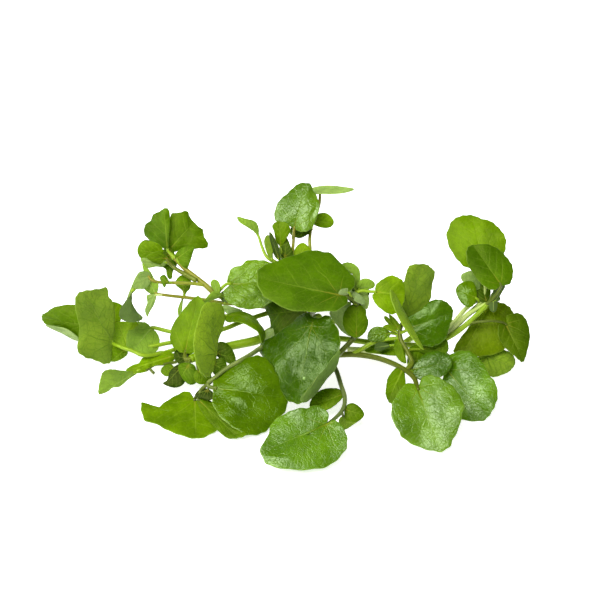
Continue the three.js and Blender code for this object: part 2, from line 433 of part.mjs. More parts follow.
// Front left sprig
const frontLeftBlades = [
  leaf('bigShiny', upper, [-25, 3.5, 10], [-0.3, 0, 11.5], [-10, 14.8, 17], [2, 0.9, 0, 0.5],
    [[-25.2, 3.5], [-25.2, 6.2], [-22.2, 9], [-18, 11.5], [-13.5, 14], [-10, 14.9], [-7, 14], [-4.6, 11.5],
      [-2.5, 7.5], [-0.9, 3], [0.7, -0.8], [0.1, -4.6], [-3, -7.9], [-6.5, -11.5], [-9.6, -12.9],
      [-13.6, -12.9], [-18, -10.4], [-22.2, -7.2], [-25.2, -2.5]]),
  leaf('flatOnTable', upper, [-31.6, -0.6, 2.6], [-31.2, -14, 0.3], [-45, -7, 0.8], [0.3, 0.3, 0, 0.2],
    [[-31.6, -0.6], [-32.8, 1.8], [-35, 2.4], [-38, 1], [-42, -1.5], [-45.2, -3.9], [-48, -2.8],
      [-50.2, -1.6], [-50.3, -4.5], [-49, -7.8], [-45.5, -9], [-41.5, -11.2], [-37, -13], [-31.5, -14.3],
      [-27, -13.3], [-23.3, -10.3], [-25, -5.5], [-29, -1]]),
  leaf('underShiny', upper, [-30.5, -0.5, 4.4], [-17, -13.5, 1.6], [-24, -3, 4.4], [0.4, 0.3, 0, 0.2],
    [[-30.9, -0.3], [-28.5, 0.3], [-24, -2.5], [-18, -8.3], [-13.4, -12.4], [-16.2, -14], [-19.8, -14.1],
      [-22.2, -12.6], [-24.6, -10.4], [-26.6, -8], [-29.7, -3.8]]),
  leaf('smallFoot', upper, [-27, 2.6, 7.4], [-31.2, 1.2, 5.2], [-28, 3.4, 7.4], [0.4, 0.2, 0, 0],
    [[-25.6, 2.4], [-28, 3.4], [-30.5, 2.3], [-31.4, 0.6], [-29, -0.3], [-26.2, -0.8], [-25, 0.6]]),
];
const frontLeftStalks = [
  stalk(1, 0.65, [[6, 22.9, 11], [0, 21.5, 11], [-5, 19.4, 11.4], [-9, 17.2, 12.6], [-12, 15.2, 14],
    [-16, 12.9, 14.6], [-20, 10.6, 13], [-24, 7.6, 11.2], [-27.2, 4.8, 9]], 'bigShiny'),
  stalk(0.7, 0.55, [[-22, 9.1, 12.1], [-26, 5.6, 9.2], [-28.6, 3.6, 7.6], [-30.6, 1.4, 4.8]], 'flatOnTable'),
  stalk(0.5, 0.45, [[-29, 3.2, 7], [-30, 1.4, 5.6]], 'underShiny'),
  stalk(0.45, 0.4, [[-26.6, 4.8, 8.6]], 'smallFoot'),
];

// Front middle sprig
const frontMiddleBlades = [
  leaf('glossyCentre', upper, [9.5, 25, 26], [4, -1.5, 9], [-8, 14, 12], [2, 0.9, 0.5, 0.6],
    [[9.5, 25], [8, 29.5], [4.8, 28.4], [0, 25], [-5, 21], [-8.9, 18], [-8.4, 14.8], [-6.5, 12.5], [-3.6, 9.5],
      [-1.6, 5], [0.6, -0.2], [3.4, -1.9], [6.5, -1.7], [10.3, 1.2], [14.5, 6.5], [17.7, 10.4],
      [19.2, 14.6], [19.5, 19], [18.8, 23.2], [16.6, 27.3], [14.8, 29], [12.4, 28.2]]),
  leaf('rolledEdge', under, [17.6, 16, 25.6], [6, 0, 11.6], [13, 9.6, 20], [0.5, 0, 0, 0.2],
    [[19.2, 16.5], [16.8, 14.4], [13.4, 9.8], [9.8, 6], [7.4, 2.6], [5.4, -0.4], [7, -1.5], [10.6, 1.4],
      [14.6, 6.5], [17.8, 10.4]]),
  leaf('frontTable', upper, [14.5, -9.4, 8.5], [-8.2, -19, 5], [9.6, -25, 0.7], [1.6, 0.8, 0, 0.5],
    [[14.6, -9.2], [15.4, -6.4], [13.8, -3.7], [10.8, -2.5], [8, -3.6], [4.4, -3.7], [0.8, -5],
      [-2.8, -7], [-5.1, -9.8], [-6.1, -13.5], [-8.7, -17.7], [-7.5, -21.8], [-4.6, -24], [2, -25],
      [9.6, -25], [15.2, -23.9], [19.2, -20.8], [21.6, -17.3], [21.7, -13.6], [20.3, -10], [17.4, -7.8]]),
  leaf('darkOval', upper, [20.9, 1.4, 8.4], [8.6, -3, 4.5], [15, 3.3, 8.4], [0.8, 0.5, 0, 0.2],
    [[20.9, 1.4], [18.6, 3.2], [14.8, 3.4], [11.6, 2.2], [9.4, -0.2], [8.6, -2.8], [10.4, -4.6],
      [14.8, -4.2], [18.4, -1.8]]),
  leaf('roundSmall', upper, [21, -4, 6.5], [27.4, -6, 5.4], [24, -1.9, 8], [0.6, 0.2, 0, 0.2],
    [[20.8, -4.6], [21.6, -2.6], [23.6, -1.8], [25.5, -2.6], [27.2, -4.4], [27.7, -6], [26, -7.9],
      [23, -8.6], [21.2, -7.6]]),
  leaf('roundSmallUnder', under, [20.4, -6.6, 4.6], [21.6, -10.6, 2], [25, -8.2, 3.8], [0.3, 0, 0, 0],
    [[19.6, -6.6], [23, -6.8], [26, -7.6], [24, -9.3], [20.7, -11.1], [18.8, -8.8]]),
  leaf('shadedLeaf', upper, [7, 31, 23.5], [-6.5, 29, 17.5], [-3, 22.3, 14], [0.8, 0.5, 0, 0.4],
    [[7, 31], [3, 34.5], [-3, 35.2], [-7.7, 34.6], [-6.9, 31], [-5.2, 27], [-4.6, 22.3], [-1, 22],
      [4, 25.8]]),
  leaf('paleCorner', under, [-4.4, 23, 14.5], [-8, 19.2, 12.6], [-6.6, 23.4, 15], [0, 0, 0, 0],
    [[-3.6, 24.2], [-3.7, 21.2], [-6.2, 19.8], [-8.2, 18.8], [-6.7, 21.2], [-6.6, 23.6]]),
];
const frontMiddleStalks = [
  stalk(1.2, 0.9, [[13.4, 31.4, 2.5], [12.4, 32, 8], [9, 29.4, 14], [9.4, 26.5, 18.4], [11.6, 21, 18.2],
    [14.6, 15, 15.6]]),
  stalk(0.9, 0.65, [[12.4, 19.4, 17.6], [15.4, 13.8, 14.8], [17.8, 10, 12.6], [19.6, 4.6, 10.2],
    [20.9, 0.6, 8.8], [20.8, -2.4, 7.9], [19.5, -5.1, 7.6], [17.2, -7.4, 7.8]], 'frontTable'),
  stalk(0.7, 0.6, [[9, 27.2, 17.6], [8, 28, 21], [8.8, 26.6, 24.6]], 'glossyCentre'),
  stalk(0.55, 0.5, [[20.6, 1.8, 9]], 'darkOval'),
  stalk(0.5, 0.45, [[20.7, -2.6, 7.8]], 'roundSmall'),
  stalk(0.5, 0.45, [[19.8, -4.9, 7.4], [20.2, -5.8, 5.6]], 'roundSmallUnder'),
  stalk(0.6, 0.5, [[8.6, 28.6, 16.4], [8.4, 30.6, 20.6]], 'shadedLeaf'),
  stalk(0.5, 0.45, [[17, 13.2, 24.4], [15, 11, 21.6], [12.6, 9.6, 19]]),
];

// Top sprig
const topBlades = [
  leaf('topShiny', upper, [3.2, 59.3, 43.5], [7.2, 75, 55.5], [12, 66, 49.5], [1.6, 0.8, 0.4, 0.5],
    [[3.2, 59.4], [0.5, 60.6], [-3.2, 62], [-3.6, 65], [-2, 69], [0.6, 71.6], [3.2, 74], [5.6, 75.2],
      [8.8, 75], [9.7, 73], [11.5, 70], [12, 66.5], [11, 62.8], [9.6, 59.6], [7.2, 58.2], [5, 58.3]]),
  curled('edgeOnTop', under, [[5, 71.6, 46.5], [11, 72, 48], [18, 72.4, 49.5], [24.2, 72.9, 50.5]],
    4.4, [70, 66], 0.8),
  leaf('roundBehind', upper, [10, 61.6, 42], [17.2, 61.6, 43], [13.5, 64.9, 45.5], [0.6, 0.3, 0, 0.2],
    [[9.4, 61.4], [11, 64.2], [13.6, 64.9], [15.7, 64], [17.1, 62], [16.7, 60.4], [15.2, 59.6],
      [12, 59.8]]),
  leaf('paleLeft', under, [-9.4, 56.9, 39.5], [-16.4, 62.9, 44], [-10, 61.6, 43], [0.5, 0.6, 0, 0.1],
    [[-9.2, 56.6], [-9.3, 60], [-10.8, 61.9], [-14, 62.8], [-16.7, 63.4], [-16, 61.6], [-13, 59.6],
      [-10.6, 58.2]]),
  leaf('brightMiddle', upper, [-1.5, 53.2, 39.5], [-2, 61.8, 47.5], [1.7, 58.5, 45], [0.8, 0.5, 0, 0.3],
    [[-1.5, 53], [-3.3, 55.5], [-3.9, 58.2], [-4.6, 60.4], [-2.6, 61.9], [0.4, 61.3], [1.9, 59],
      [0.8, 56.2]]),
  leaf('smallBehindEdge', upper, [4.6, 48.6, 35.6], [7.5, 53.8, 39], [3.8, 52.4, 38], [0.4, 0, 0, 0.1],
    [[4, 48], [3, 50.5], [4.2, 53.2], [6.2, 54.3], [8, 53.2], [9.4, 51], [8, 48.4]]),
  leaf('darkUnderTop', upper, [5, 59.8, 41.5], [6, 56, 38.5], [9, 58.6, 40.5], [0.4, 0, 0, 0],
    [[3, 60.4], [1.7, 57.8], [3.3, 56.4], [5.7, 56], [8.8, 58], [9.2, 60.6]]),
  leaf('budPale', upper, [-4.6, 48.6, 35.5], [-6.4, 56.9, 41.5], [-4.5, 53, 39], [0.4, 0.2, 0, 0],
    [[-4.5, 47.8], [-6.3, 50.6], [-7.2, 54.8], [-6.2, 57], [-4.7, 56], [-4.2, 51.5]]),
  leaf('budDark', upper, [-2, 48.6, 36.4], [-5, 57.8, 43.5], [-1.8, 51.5, 39.5], [0.4, 0.2, 0, 0],
    [[-1.6, 48.2], [-3.6, 49.6], [-4.7, 53.5], [-5.4, 58], [-4, 56.6], [-2, 52.4]]),
  leaf('budRight', upper, [0, 49.4, 36.4], [0.6, 55.8, 41.5], [2.4, 51.6, 38.4], [0.4, 0.2, 0, 0],
    [[-0.4, 48.8], [-1.7, 51.8], [-0.8, 54.6], [0.7, 55.9], [1.9, 53.2], [2.9, 50.2], [2, 48.8]]),
];
const topStalks = [
  stalk(1.2, 0.8, [[7.5, 27, 4.5], [6.5, 31, 10], [5, 35, 16], [2.5, 40, 23], [0.5, 45, 30],
    [-0.6, 49, 35]]),
  stalk(0.7, 0.5, [[1, 44, 28.6], [2, 47.4, 33.4], [2.6, 51, 36.6], [3, 55.4, 40.2]], 'topShiny'),
  stalk(0.7, 0.5, [[1, 44, 28.6], [5.4, 47, 31.6], [8.6, 51, 35.4], [8.6, 55, 38.4], [9.1, 59.4, 40.6],
    [10.8, 64, 43.4], [12, 68, 45.8], [12.2, 70.4, 47.2], [12.2, 72, 48.2]]),
  stalk(0.5, 0.45, [[9.3, 58.8, 40.3], [9.3, 60.4, 41]], 'roundBehind'),
  stalk(0.65, 0.5, [[-0.2, 46, 31.4], [-3.5, 47.4, 33.2], [-6.4, 49.4, 34.6], [-8.1, 53, 36.8]],
    'paleLeft'),
  stalk(0.6, 0.5, [[-0.8, 48.6, 34.6], [-1.2, 50.8, 37.4]], 'brightMiddle'),
  stalk(0.5, 0.45, [[3.2, 45.5, 30.1]], 'smallBehindEdge'),
  stalk(0.5, 0.45, [[2.7, 55.8, 40.4], [3.2, 58.6, 41.4]], 'darkUnderTop'),
  stalk(0.6, 0.5, [[-1.8, 46.8, 32.6]], 'budPale'),
  stalk(0.6, 0.5, [[-0.8, 47, 33]], 'budDark'),
  stalk(0.6, 0.5, [[-0.4, 47.4, 33.6]], 'budRight'),
];

// Middle sprig, with the broad dark leaf and the two leaves to its right
const middleBlades = [
  leaf('broadDark', upper, [18.8, 36, 35.5], [-9.8, 42, 37], [8, 30.2, 33], [2, 0.9, 0.5, 0.4],
    [[18.8, 36], [22.6, 37.5], [24.1, 38.8], [24.6, 41], [23.4, 43.6], [20, 46.8], [16, 50.6],
      [12.8, 51.3], [9.3, 51.7], [5, 50.6], [-1, 48.6], [-6, 46.8], [-9, 45.1], [-9.9, 42.4],
      [-8.9, 37.8], [-6.8, 35.2], [-2.4, 32.7], [1.4, 30.7], [7, 30.2], [13, 30.2], [18, 30.6],
      [21.3, 32.6], [22, 34.6], [20.4, 35.4]]),
  leaf('curvedBehind', upper, [24.7, 38.2, 33], [20, 46.8, 36], [26, 44, 36.5], [0.4, 0, 0, 0.1],
    [[24, 37.8], [24.6, 41.6], [22.8, 44.2], [19.4, 46.2], [21.4, 47.5], [24, 47], [26, 45],
      [26.3, 42], [25.6, 38.6]]),
  leaf('paleSide', upper, [26, 38.4, 33.5], [31.4, 39.9, 34.8], [28, 41.8, 36.5], [0.5, 0.2, 0, 0.1],
    [[25.4, 38.6], [25.4, 40.4], [27.2, 41.7], [29.4, 41.7], [31.3, 40.4], [31.2, 38.8], [28.8, 38]]),
  leaf('brightTwin', upper, [31.4, 37.2, 34.5], [42, 36, 33.5], [36.6, 29.4, 28.8], [1, -0.7, 0, 0.4],
    [[31.4, 37.2], [31.7, 39.5], [34, 41.5], [37, 42.8], [39.6, 42.1], [41.5, 40.6], [42, 37],
      [41.4, 33], [39.4, 30], [36.6, 29.3], [33, 31.6], [31, 34], [30.5, 36]]),
  curled('hangingStrip', under, [[37.9, 37.6, 34.8], [39.6, 33, 34], [42, 27.6, 29.8], [45, 22.3, 25.6],
    [48.4, 16.9, 21]], 3.6, [66, 66], -0.5),
  leaf('greyFolded', under, [23.6, 22, 15.5], [16.8, 30, 19.5], [22.6, 33, 25], [0.5, 0.4, 0, 0.2],
    [[23.8, 21.7], [20.6, 22.8], [18.4, 25.2], [15.6, 29.6], [17.6, 31.4], [20.6, 33], [23, 33.4],
      [23.4, 28]]),
  leaf('darkRound', upper, [24.9, 22, 19], [25, 33, 28], [28.9, 26.6, 22.5], [1, 0.4, 0, 0.3],
    [[24.8, 21.1], [21.8, 22.7], [20.2, 26.2], [20.8, 30], [23, 32.4], [26, 32.9], [28.2, 31],
      [28.5, 28.8], [29.2, 26.6], [28.6, 24], [27.2, 22.2]]),
  leaf('brightBit', upper, [25.4, 36.4, 31.5], [28.8, 31.6, 27.5], [28.8, 36.4, 31.5], [0.4, 0, 0, 0.1],
    [[25, 36.6], [26.8, 37.8], [28.8, 36.8], [29.5, 34], [28.8, 31.2], [27.3, 31.8], [26.4, 33.8]]),
  leaf('greyBit', under, [22.4, 36.4, 33.4], [27.8, 33, 30.2], [25.4, 36.6, 33.2], [0.3, 0.2, 0, 0],
    [[21.4, 36.3], [23, 37.4], [25.6, 36.6], [27.6, 34.6], [27.8, 32.6], [25.4, 33.4], [23, 35]]),
  leaf('shadeFoot', upper, [25.6, 34.6, 29], [20.6, 38.6, 32], [28.4, 39, 32], [0.4, 0.2, 0, 0.1],
    [[26, 32.4], [22.4, 34], [20.6, 37.6], [23.6, 40.4], [28.2, 40], [29.4, 36]]),
  leaf('greyNearFoot', upper, [22, 37, 35.4], [19.4, 37.4, 36.6], [22, 38.4, 36.4], [0.2, 0, 0, 0],
    [[22.8, 36.7], [20.4, 35.9], [18.8, 36.4], [19.4, 37.9], [21.6, 38.4], [23.4, 38.2]]),
];
const middleStalks = [
  stalk(1.1, 0.65, [[6, 3.5, 5], [10, 6.6, 8.5], [15, 11.6, 11.4], [19.7, 16.4, 13.6],
    [22.6, 19.4, 15.4], [24.6, 21.9, 17.2], [26.2, 27, 20.6], [25.6, 31.8, 26.4], [23, 35, 32.6],
    [20.8, 36, 34.8]], 'broadDark'),
  stalk(0.5, 0.45, [[24.8, 32.8, 28.6], [24.8, 36, 31.6]], 'curvedBehind'),
  stalk(0.5, 0.45, [[24.8, 32.8, 28.6], [25.4, 36.4, 32.4]], 'paleSide'),
  stalk(0.65, 0.5, [[24.6, 33, 28.8], [24.4, 36.6, 32.8], [27, 37.6, 34], [29.4, 37.3, 34.4]],
    'brightTwin'),
  stalk(0.45, 0.4, [[35.4, 37, 34.4], [37, 37.6, 34.9]], 'hangingStrip'),
  stalk(0.5, 0.45, [[22.8, 19.6, 15.2]], 'greyFolded'),
  stalk(0.55, 0.45, [[23.6, 20.6, 16.2]], 'darkRound'),
  stalk(0.5, 0.45, [[24.2, 34, 30.6], [24.6, 35.8, 31.4]], 'brightBit'),
  stalk(0.5, 0.45, [[22.6, 35.3, 33]], 'greyBit'),
  stalk(0.5, 0.45, [[25.3, 32.6, 27.6]], 'shadeFoot'),
  stalk(0.5, 0.45, [[23, 35.2, 32.8], [22.8, 36.4, 34.6]], 'greyNearFoot'),
];

// Front right sprig, with the leaves that stand above its branch
const frontRightBlades = [
  leaf('bigRound', upper, [46.3, 3.6, 11.5], [54, -18, 0.9], [38, -7.4, 5.2], [2, 1, 0, 0.5],
    [[46.3, 3.8], [45, 5.2], [42, 4.7], [39.8, 2], [37.8, -1.2], [37.2, -3.8], [37.6, -7.8],
      [39.5, -11], [40.6, -13.3], [43.2, -15.4], [47.2, -17.4], [51.4, -18.5], [54.8, -18.8],
      [57.8, -16.9], [59, -14.2], [60.9, -10.6], [61.9, -6.2], [62.8, -3], [61.6, 0], [59.6, 3.2],
      [56.6, 5.5], [53.6, 7.2], [51, 8], [48.3, 7.4]]),
  leaf('roundBehind', upper, [56.4, 10, 8.8], [71, -6.4, 2], [66, 15.5, 13.5], [1.8, 0.8, 0, 0.4],
    [[55.8, 9.6], [57, 13.4], [58.8, 15.8], [63.4, 16.7], [66.6, 15], [69.5, 11.8], [71.4, 8.2],
      [73.6, 5.4], [74.5, 1], [73.6, -2.6], [71.7, -5.9], [69.2, -8], [63.6, -8.1], [59, -6],
      [56, -0.5], [55, 4.5]]),
  leaf('wideAbove', upper, [43.6, 9.8, 11.2], [58.4, 12.8, 13.6], [52, 16.4, 15.4], [1, 0.6, 0, 0.3],
    [[43.6, 9.8], [45.8, 12], [48.4, 14.9], [52.2, 16.4], [55.8, 15.6], [58.4, 13.4], [57.8, 10.2],
      [55, 7.6], [51, 6.4], [46.8, 6.4]]),
  leaf('leftSmall', upper, [41.4, 10.4, 11.4], [36.6, 0, 5.4], [35.3, 6.5, 8.4], [0.8, -0.4, 0, 0.3],
    [[41.4, 10.4], [39.4, 10.7], [37.6, 9.2], [35.9, 6.7], [35.3, 3.4], [35.4, 0.6], [36.8, -1.8],
      [39.6, -1], [42, 3.4], [42.2, 6.4]]),
  leaf('tallBehind', under, [42, 28, 21.5], [48, 47, 35.5], [51.5, 40, 29.5], [1, 0.8, 0, 0.4],
    [[42, 27.8], [39.6, 31], [39.4, 36], [41.7, 41], [42.8, 45], [44.5, 46.6], [48.8, 46.9],
      [51, 45.6], [52.5, 43.7], [51.6, 39], [50.3, 33.6], [46, 29.2]]),
  leaf('darkShiny', upper, [43.5, 24.3, 22], [58.6, 30, 26.6], [51.6, 18.1, 17.5], [1.2, 0.9, 0, 0.5],
    [[43.4, 24.4], [42.1, 27.8], [46.4, 30.1], [50.2, 33.3], [52.8, 34.4], [55.8, 34], [58.2, 32],
      [58.9, 29.8], [57.6, 25.2], [56.1, 20.5], [51.8, 18], [47.6, 18.7], [44.4, 21.2]]),
  leaf('darkBelow', upper, [47, 17, 14.5], [57, 18, 15.6], [52, 15.8, 13.8], [0.4, 0.2, 0, 0.1],
    [[46.6, 17], [50, 19.4], [56, 20.6], [57.2, 18], [56.5, 15.8], [52.6, 15.8], [48.6, 15.6]]),
  leaf('smallGlossy', upper, [36.8, 22.7, 17.6], [29, 21.6, 16.8], [33, 24.8, 19.2], [0.7, 0.3, 0, 0.2],
    [[36.8, 22.8], [35, 24.4], [31.6, 24.9], [29.3, 23.2], [28.9, 20.6], [30.6, 19.8], [34, 19.9],
      [36.3, 21.2]]),
  leaf('smallGrey', under, [36.8, 18.4, 14.8], [31.5, 17.6, 14], [34, 19.5, 15.4], [0.4, 0.2, 0, 0],
    [[36.9, 18.4], [34.2, 19.5], [31.9, 19.1], [31.3, 17.2], [33, 16.3], [35.2, 17.2]]),
  leaf('brightLong', upper, [39.4, 21.6, 17.5], [42, 12.6, 12.4], [38.2, 17, 15], [0.5, -0.3, 0, 0.2],
    [[39.2, 22], [38.2, 18.6], [38.4, 16], [40, 13.2], [42.4, 12.2], [41.9, 15.5], [41, 18.6],
      [40.2, 21]]),
  leaf('shadeStems', upper, [41, 17, 12.6], [27.6, 17.4, 10], [34, 20, 12.4], [0.5, 0.3, 0, 0.2],
    [[41, 17], [38.6, 14.8], [33, 15.4], [28, 16.4], [28.6, 18.8], [33, 20], [38.6, 19.8]]),
  leaf('shadeRight', upper, [43.4, 12.4, 11], [49.8, 14, 11.6], [45, 17.8, 14], [0.5, 0.3, 0, 0.2],
    [[43.2, 10.6], [42.8, 14], [43.8, 17.8], [47.8, 18.2], [50.2, 14.8], [46.8, 11]]),
  leaf('budOne', upper, [39.6, 24, 20], [35, 28.2, 22.4], [38.8, 26.6, 22], [0.2, 0, 0, 0],
    [[40, 23.8], [37.4, 24.8], [34.7, 27.8], [35.4, 28.7], [38, 26.4], [40.4, 25.2]]),
  leaf('budTwo', upper, [39.6, 24.4, 20.4], [36.8, 29.2, 24], [39.6, 27, 22.6], [0.2, 0, 0, 0],
    [[39.6, 24], [37.3, 26.6], [36.3, 29.2], [37.4, 28.8], [39.2, 27], [40.6, 25]]),
  leaf('budThree', upper, [38.6, 23.4, 19.4], [34.8, 25, 20.4], [37, 25.8, 21.4], [0.2, 0, 0, 0],
    [[38.8, 22.8], [36, 23.8], [34.3, 25], [36.4, 25.8], [39, 25]]),
];
const frontRightStalks = [
  stalk(1.2, 0.8, [[0, 13.4, 3.6], [8, 14.4, 6], [14, 15, 7.8], [19.7, 15.2, 9.2], [25, 15.2, 10],
    [31.6, 14.2, 10.8], [37, 12.4, 11.3], [41.9, 9.9, 11.8], [45.2, 6.9, 12]], 'bigRound'),
  stalk(0.7, 0.6, [[41, 10.4, 11.7], [42.6, 9.9, 11.6]], 'wideAbove'),
  stalk(0.6, 0.5, [[43, 9.2, 11.6], [48, 8.6, 8.6], [53, 9, 8.2]], 'roundBehind'),
  stalk(0.55, 0.5, [[42.4, 9.6, 11.7]], 'leftSmall'),
  stalk(0.85, 0.75, [[42.4, 9.8, 11.7], [44.4, 12.2, 12.6], [42.8, 16.4, 15], [40.6, 20.4, 17.4],
    [40.2, 23.6, 19.6], [41, 26, 20.8]], 'tallBehind'),
  stalk(0.8, 0.7, [[23.4, 15.4, 9.8], [26.6, 17, 12.2], [30, 19, 14], [35, 20.4, 15.6], [40.4, 21, 17.6]]),
  stalk(0.6, 0.5, [[40.4, 22.8, 19], [42, 23.4, 20.8]], 'darkShiny'),
  stalk(0.5, 0.45, [[42.6, 16.8, 15.2], [44.6, 17, 14.6]], 'darkBelow'),
  stalk(0.5, 0.45, [[40.2, 21.8, 18.2], [38.4, 22.4, 17.9]], 'smallGlossy'),
  stalk(0.45, 0.4, [[41.4, 18.8, 16.4], [39.2, 18.6, 15.6]], 'smallGrey'),
  stalk(0.45, 0.4, [[40.3, 22, 18.4]], 'brightLong'),
  stalk(0.5, 0.45, [[42.8, 16.4, 14.8]], 'shadeStems'),
  stalk(0.5, 0.45, [[43.2, 10.8, 12]], 'shadeRight'),
  stalk(0.45, 0.4, [[40.4, 22.8, 19]], 'budOne'),
  stalk(0.45, 0.4, [[40.4, 23.2, 19.4]], 'budTwo'),
  stalk(0.45, 0.4, [[40.2, 22.6, 18.8]], 'budThree'),
];

// Upper right sprig
const upperRightBlades = [
  leaf('topBright', upper, [69.4, 46, 31], [65.6, 63.8, 43.5], [57.5, 56, 37], [1.4, 0.6, 0.6, 0.5],
    [[69.4, 44.8], [63.8, 45.5], [60.8, 47.8], [58, 51.8], [56.4, 56.8], [57.9, 61.3], [60, 63.1],
      [62.8, 64], [65.8, 64], [68.8, 62.8], [72, 61.9], [74.2, 60.2], [76.4, 57.7], [77.4, 55.2],
      [77.1, 51.8], [76, 49], [73, 46]]),
  leaf('smallShiny', upper, [67, 35, 25.5], [60, 38, 27], [63, 32, 23.5], [1, 0.2, 0, 0.2],
    [[67, 34.6], [67.1, 37.2], [66, 40.3], [64, 40.8], [61.4, 40], [59.8, 38], [60.4, 35.4],
      [62, 33], [64, 31.8], [65.8, 32.2]]),
  leaf('paleFolded', under, [67.4, 37, 26], [62, 43, 30], [66.5, 43.5, 30.5], [0.3, 0.3, 0, 0],
    [[67.4, 36.4], [64.4, 39.4], [62, 41], [61.6, 42.8], [62.6, 43.8], [65.6, 44.4], [68.4, 40.2]]),
  leaf('shadedInner', upper, [70.4, 34, 24], [68.4, 40.4, 28], [71.8, 37.4, 26], [0.4, 0, 0, 0.1],
    [[70.4, 33.2], [67.4, 34.6], [67, 37.8], [68.2, 40.8], [70.8, 39.8], [72, 36.8]]),
];
const upperRightStalks = [
  stalk(1.1, 0.8, [[22, 17, 6.6], [30, 16.6, 7], [42, 15.8, 8], [50, 17.4, 10], [58, 23.8, 15],
    [63, 28.4, 19], [68.9, 34, 23.6], [70, 38, 26.4], [70, 42, 28.8]], 'topBright'),
  stalk(0.95, 0.7, [[54, 20.2, 12.2], [58.8, 26, 15.8], [63.4, 31.4, 20], [67, 34, 23.2],
    [68.9, 34.6, 23.9]]),
  stalk(0.5, 0.45, [[68, 33.2, 23], [67.6, 34.2, 24.6]], 'smallShiny'),
  stalk(0.5, 0.45, [[68.6, 34.2, 23.6], [68, 35.6, 25]], 'paleFolded'),
  stalk(0.5, 0.45, [[69.2, 34.4, 23.8]], 'shadedInner'),
];

// Right sprig
const rightBlades = [
  leaf('darkOverTop', upper, [75.6, 39.6, 32.5], [65.8, 53.4, 42.5], [79.6, 44, 35], [1.2, 0.9, 0, 0.4],
    [[75.8, 39.3], [78.4, 39.7], [79.4, 41.5], [79.8, 44], [79.5, 46.5], [78.2, 48.6], [76.4, 50.6],
      [74, 52.4], [70.8, 53.8], [67.6, 53.8], [65.2, 53.5], [63.8, 52.4], [63.4, 50], [64, 46.9],
      [65.6, 44], [67.8, 40.9], [70.2, 38.9], [73, 37.7]]),
  leaf('greySmall', upper, [73, 36.8, 27.5], [73, 30, 23], [74.4, 33, 25], [0.3, -0.3, 0, 0],
    [[72.8, 37], [71.5, 34.6], [71.5, 31.4], [72.8, 30], [74, 30.8], [74.3, 33.8]]),
  leaf('greyTwin', upper, [73.4, 34, 26], [76.6, 39.2, 29.5], [75.2, 35, 26.6], [0.3, 0, 0, 0],
    [[73, 33.8], [72.6, 36.8], [74, 39], [77, 39.4], [75.9, 37.2], [74.9, 35.4], [75.1, 34.1]]),
  leaf('backlit', upper, [72, 33.2, 21.5], [63, 17, 10.5], [79.6, 29, 18.5], [1.2, 0.8, 0, 0.5],
    [[72.4, 33.6], [75.6, 33.5], [78.4, 32.1], [80, 29.6], [80.4, 26], [79, 21], [76.6, 17],
      [72.4, 15], [66, 14.6], [60.6, 14.8], [59, 16.4], [60.3, 19.5], [63.4, 23.6], [66, 27.2],
      [69.4, 31]]),
  leaf('outerRound', upper, [77.2, 26, 18.6], [83.3, 12.8, 9.6], [85.3, 22, 15], [1, 0.8, 0, 0.3],
    [[77.2, 26], [75, 25.8], [74.5, 23], [75.2, 20.4], [77.2, 17.4], [80, 15], [82.2, 13.1],
      [83.4, 12.6], [84.3, 14.6], [85.1, 18.4], [85.5, 22], [85, 26], [83.6, 28.5], [81.6, 29.7],
      [79.3, 29.4], [77.4, 28.6]]),
  leaf('lowUnderside', under, [70.5, 14.6, 6.5], [79.6, 10.5, 5], [74, 7.6, 2.4], [0.8, 0.6, 0, 0.3],
    [[67.9, 14.6], [73.5, 17], [77.6, 16.6], [79.8, 15.2], [80.6, 12.2], [79, 9.7], [76.3, 8.2],
      [72.6, 7.3], [69.4, 9.4]]),
];
const rightStalks = [
  stalk(1.05, 0.9, [[0, 19.6, 6.5], [10, 20.8, 8], [19.5, 20.8, 9.6], [29, 19.6, 10], [40, 18.8, 10.6],
    [48, 18.6, 12], [56.2, 20.8, 15.2], [64, 26.2, 19.4], [71, 32.9, 24]]),
  stalk(0.6, 0.55, [[70, 32.2, 23.4], [72.6, 34.6, 26.6], [74.6, 37.4, 30.2]], 'darkOverTop'),
  stalk(0.5, 0.45, [[71.2, 33.2, 24.4], [72.4, 35.8, 27]], 'greySmall'),
  stalk(0.5, 0.45, [[70.6, 32.8, 23.9]], 'greyTwin'),
  stalk(0.55, 0.5, [[68.8, 31, 22.4], [70.4, 32.4, 22.2]], 'backlit'),
  stalk(0.5, 0.45, [[64, 26, 19.2], [68, 26.7, 20], [73, 27, 20]], 'outerRound'),
  stalk(0.55, 0.5, [[52, 19.6, 13.5], [55, 16.5, 9], [59, 14, 6.5], [65, 13.5, 5.5]], 'lowUnderside'),
  stalk(0.85, 0.75, [[54, 20, 14.2], [59.6, 24.8, 18], [65, 29.8, 21.4], [70.4, 33, 24]]),
];

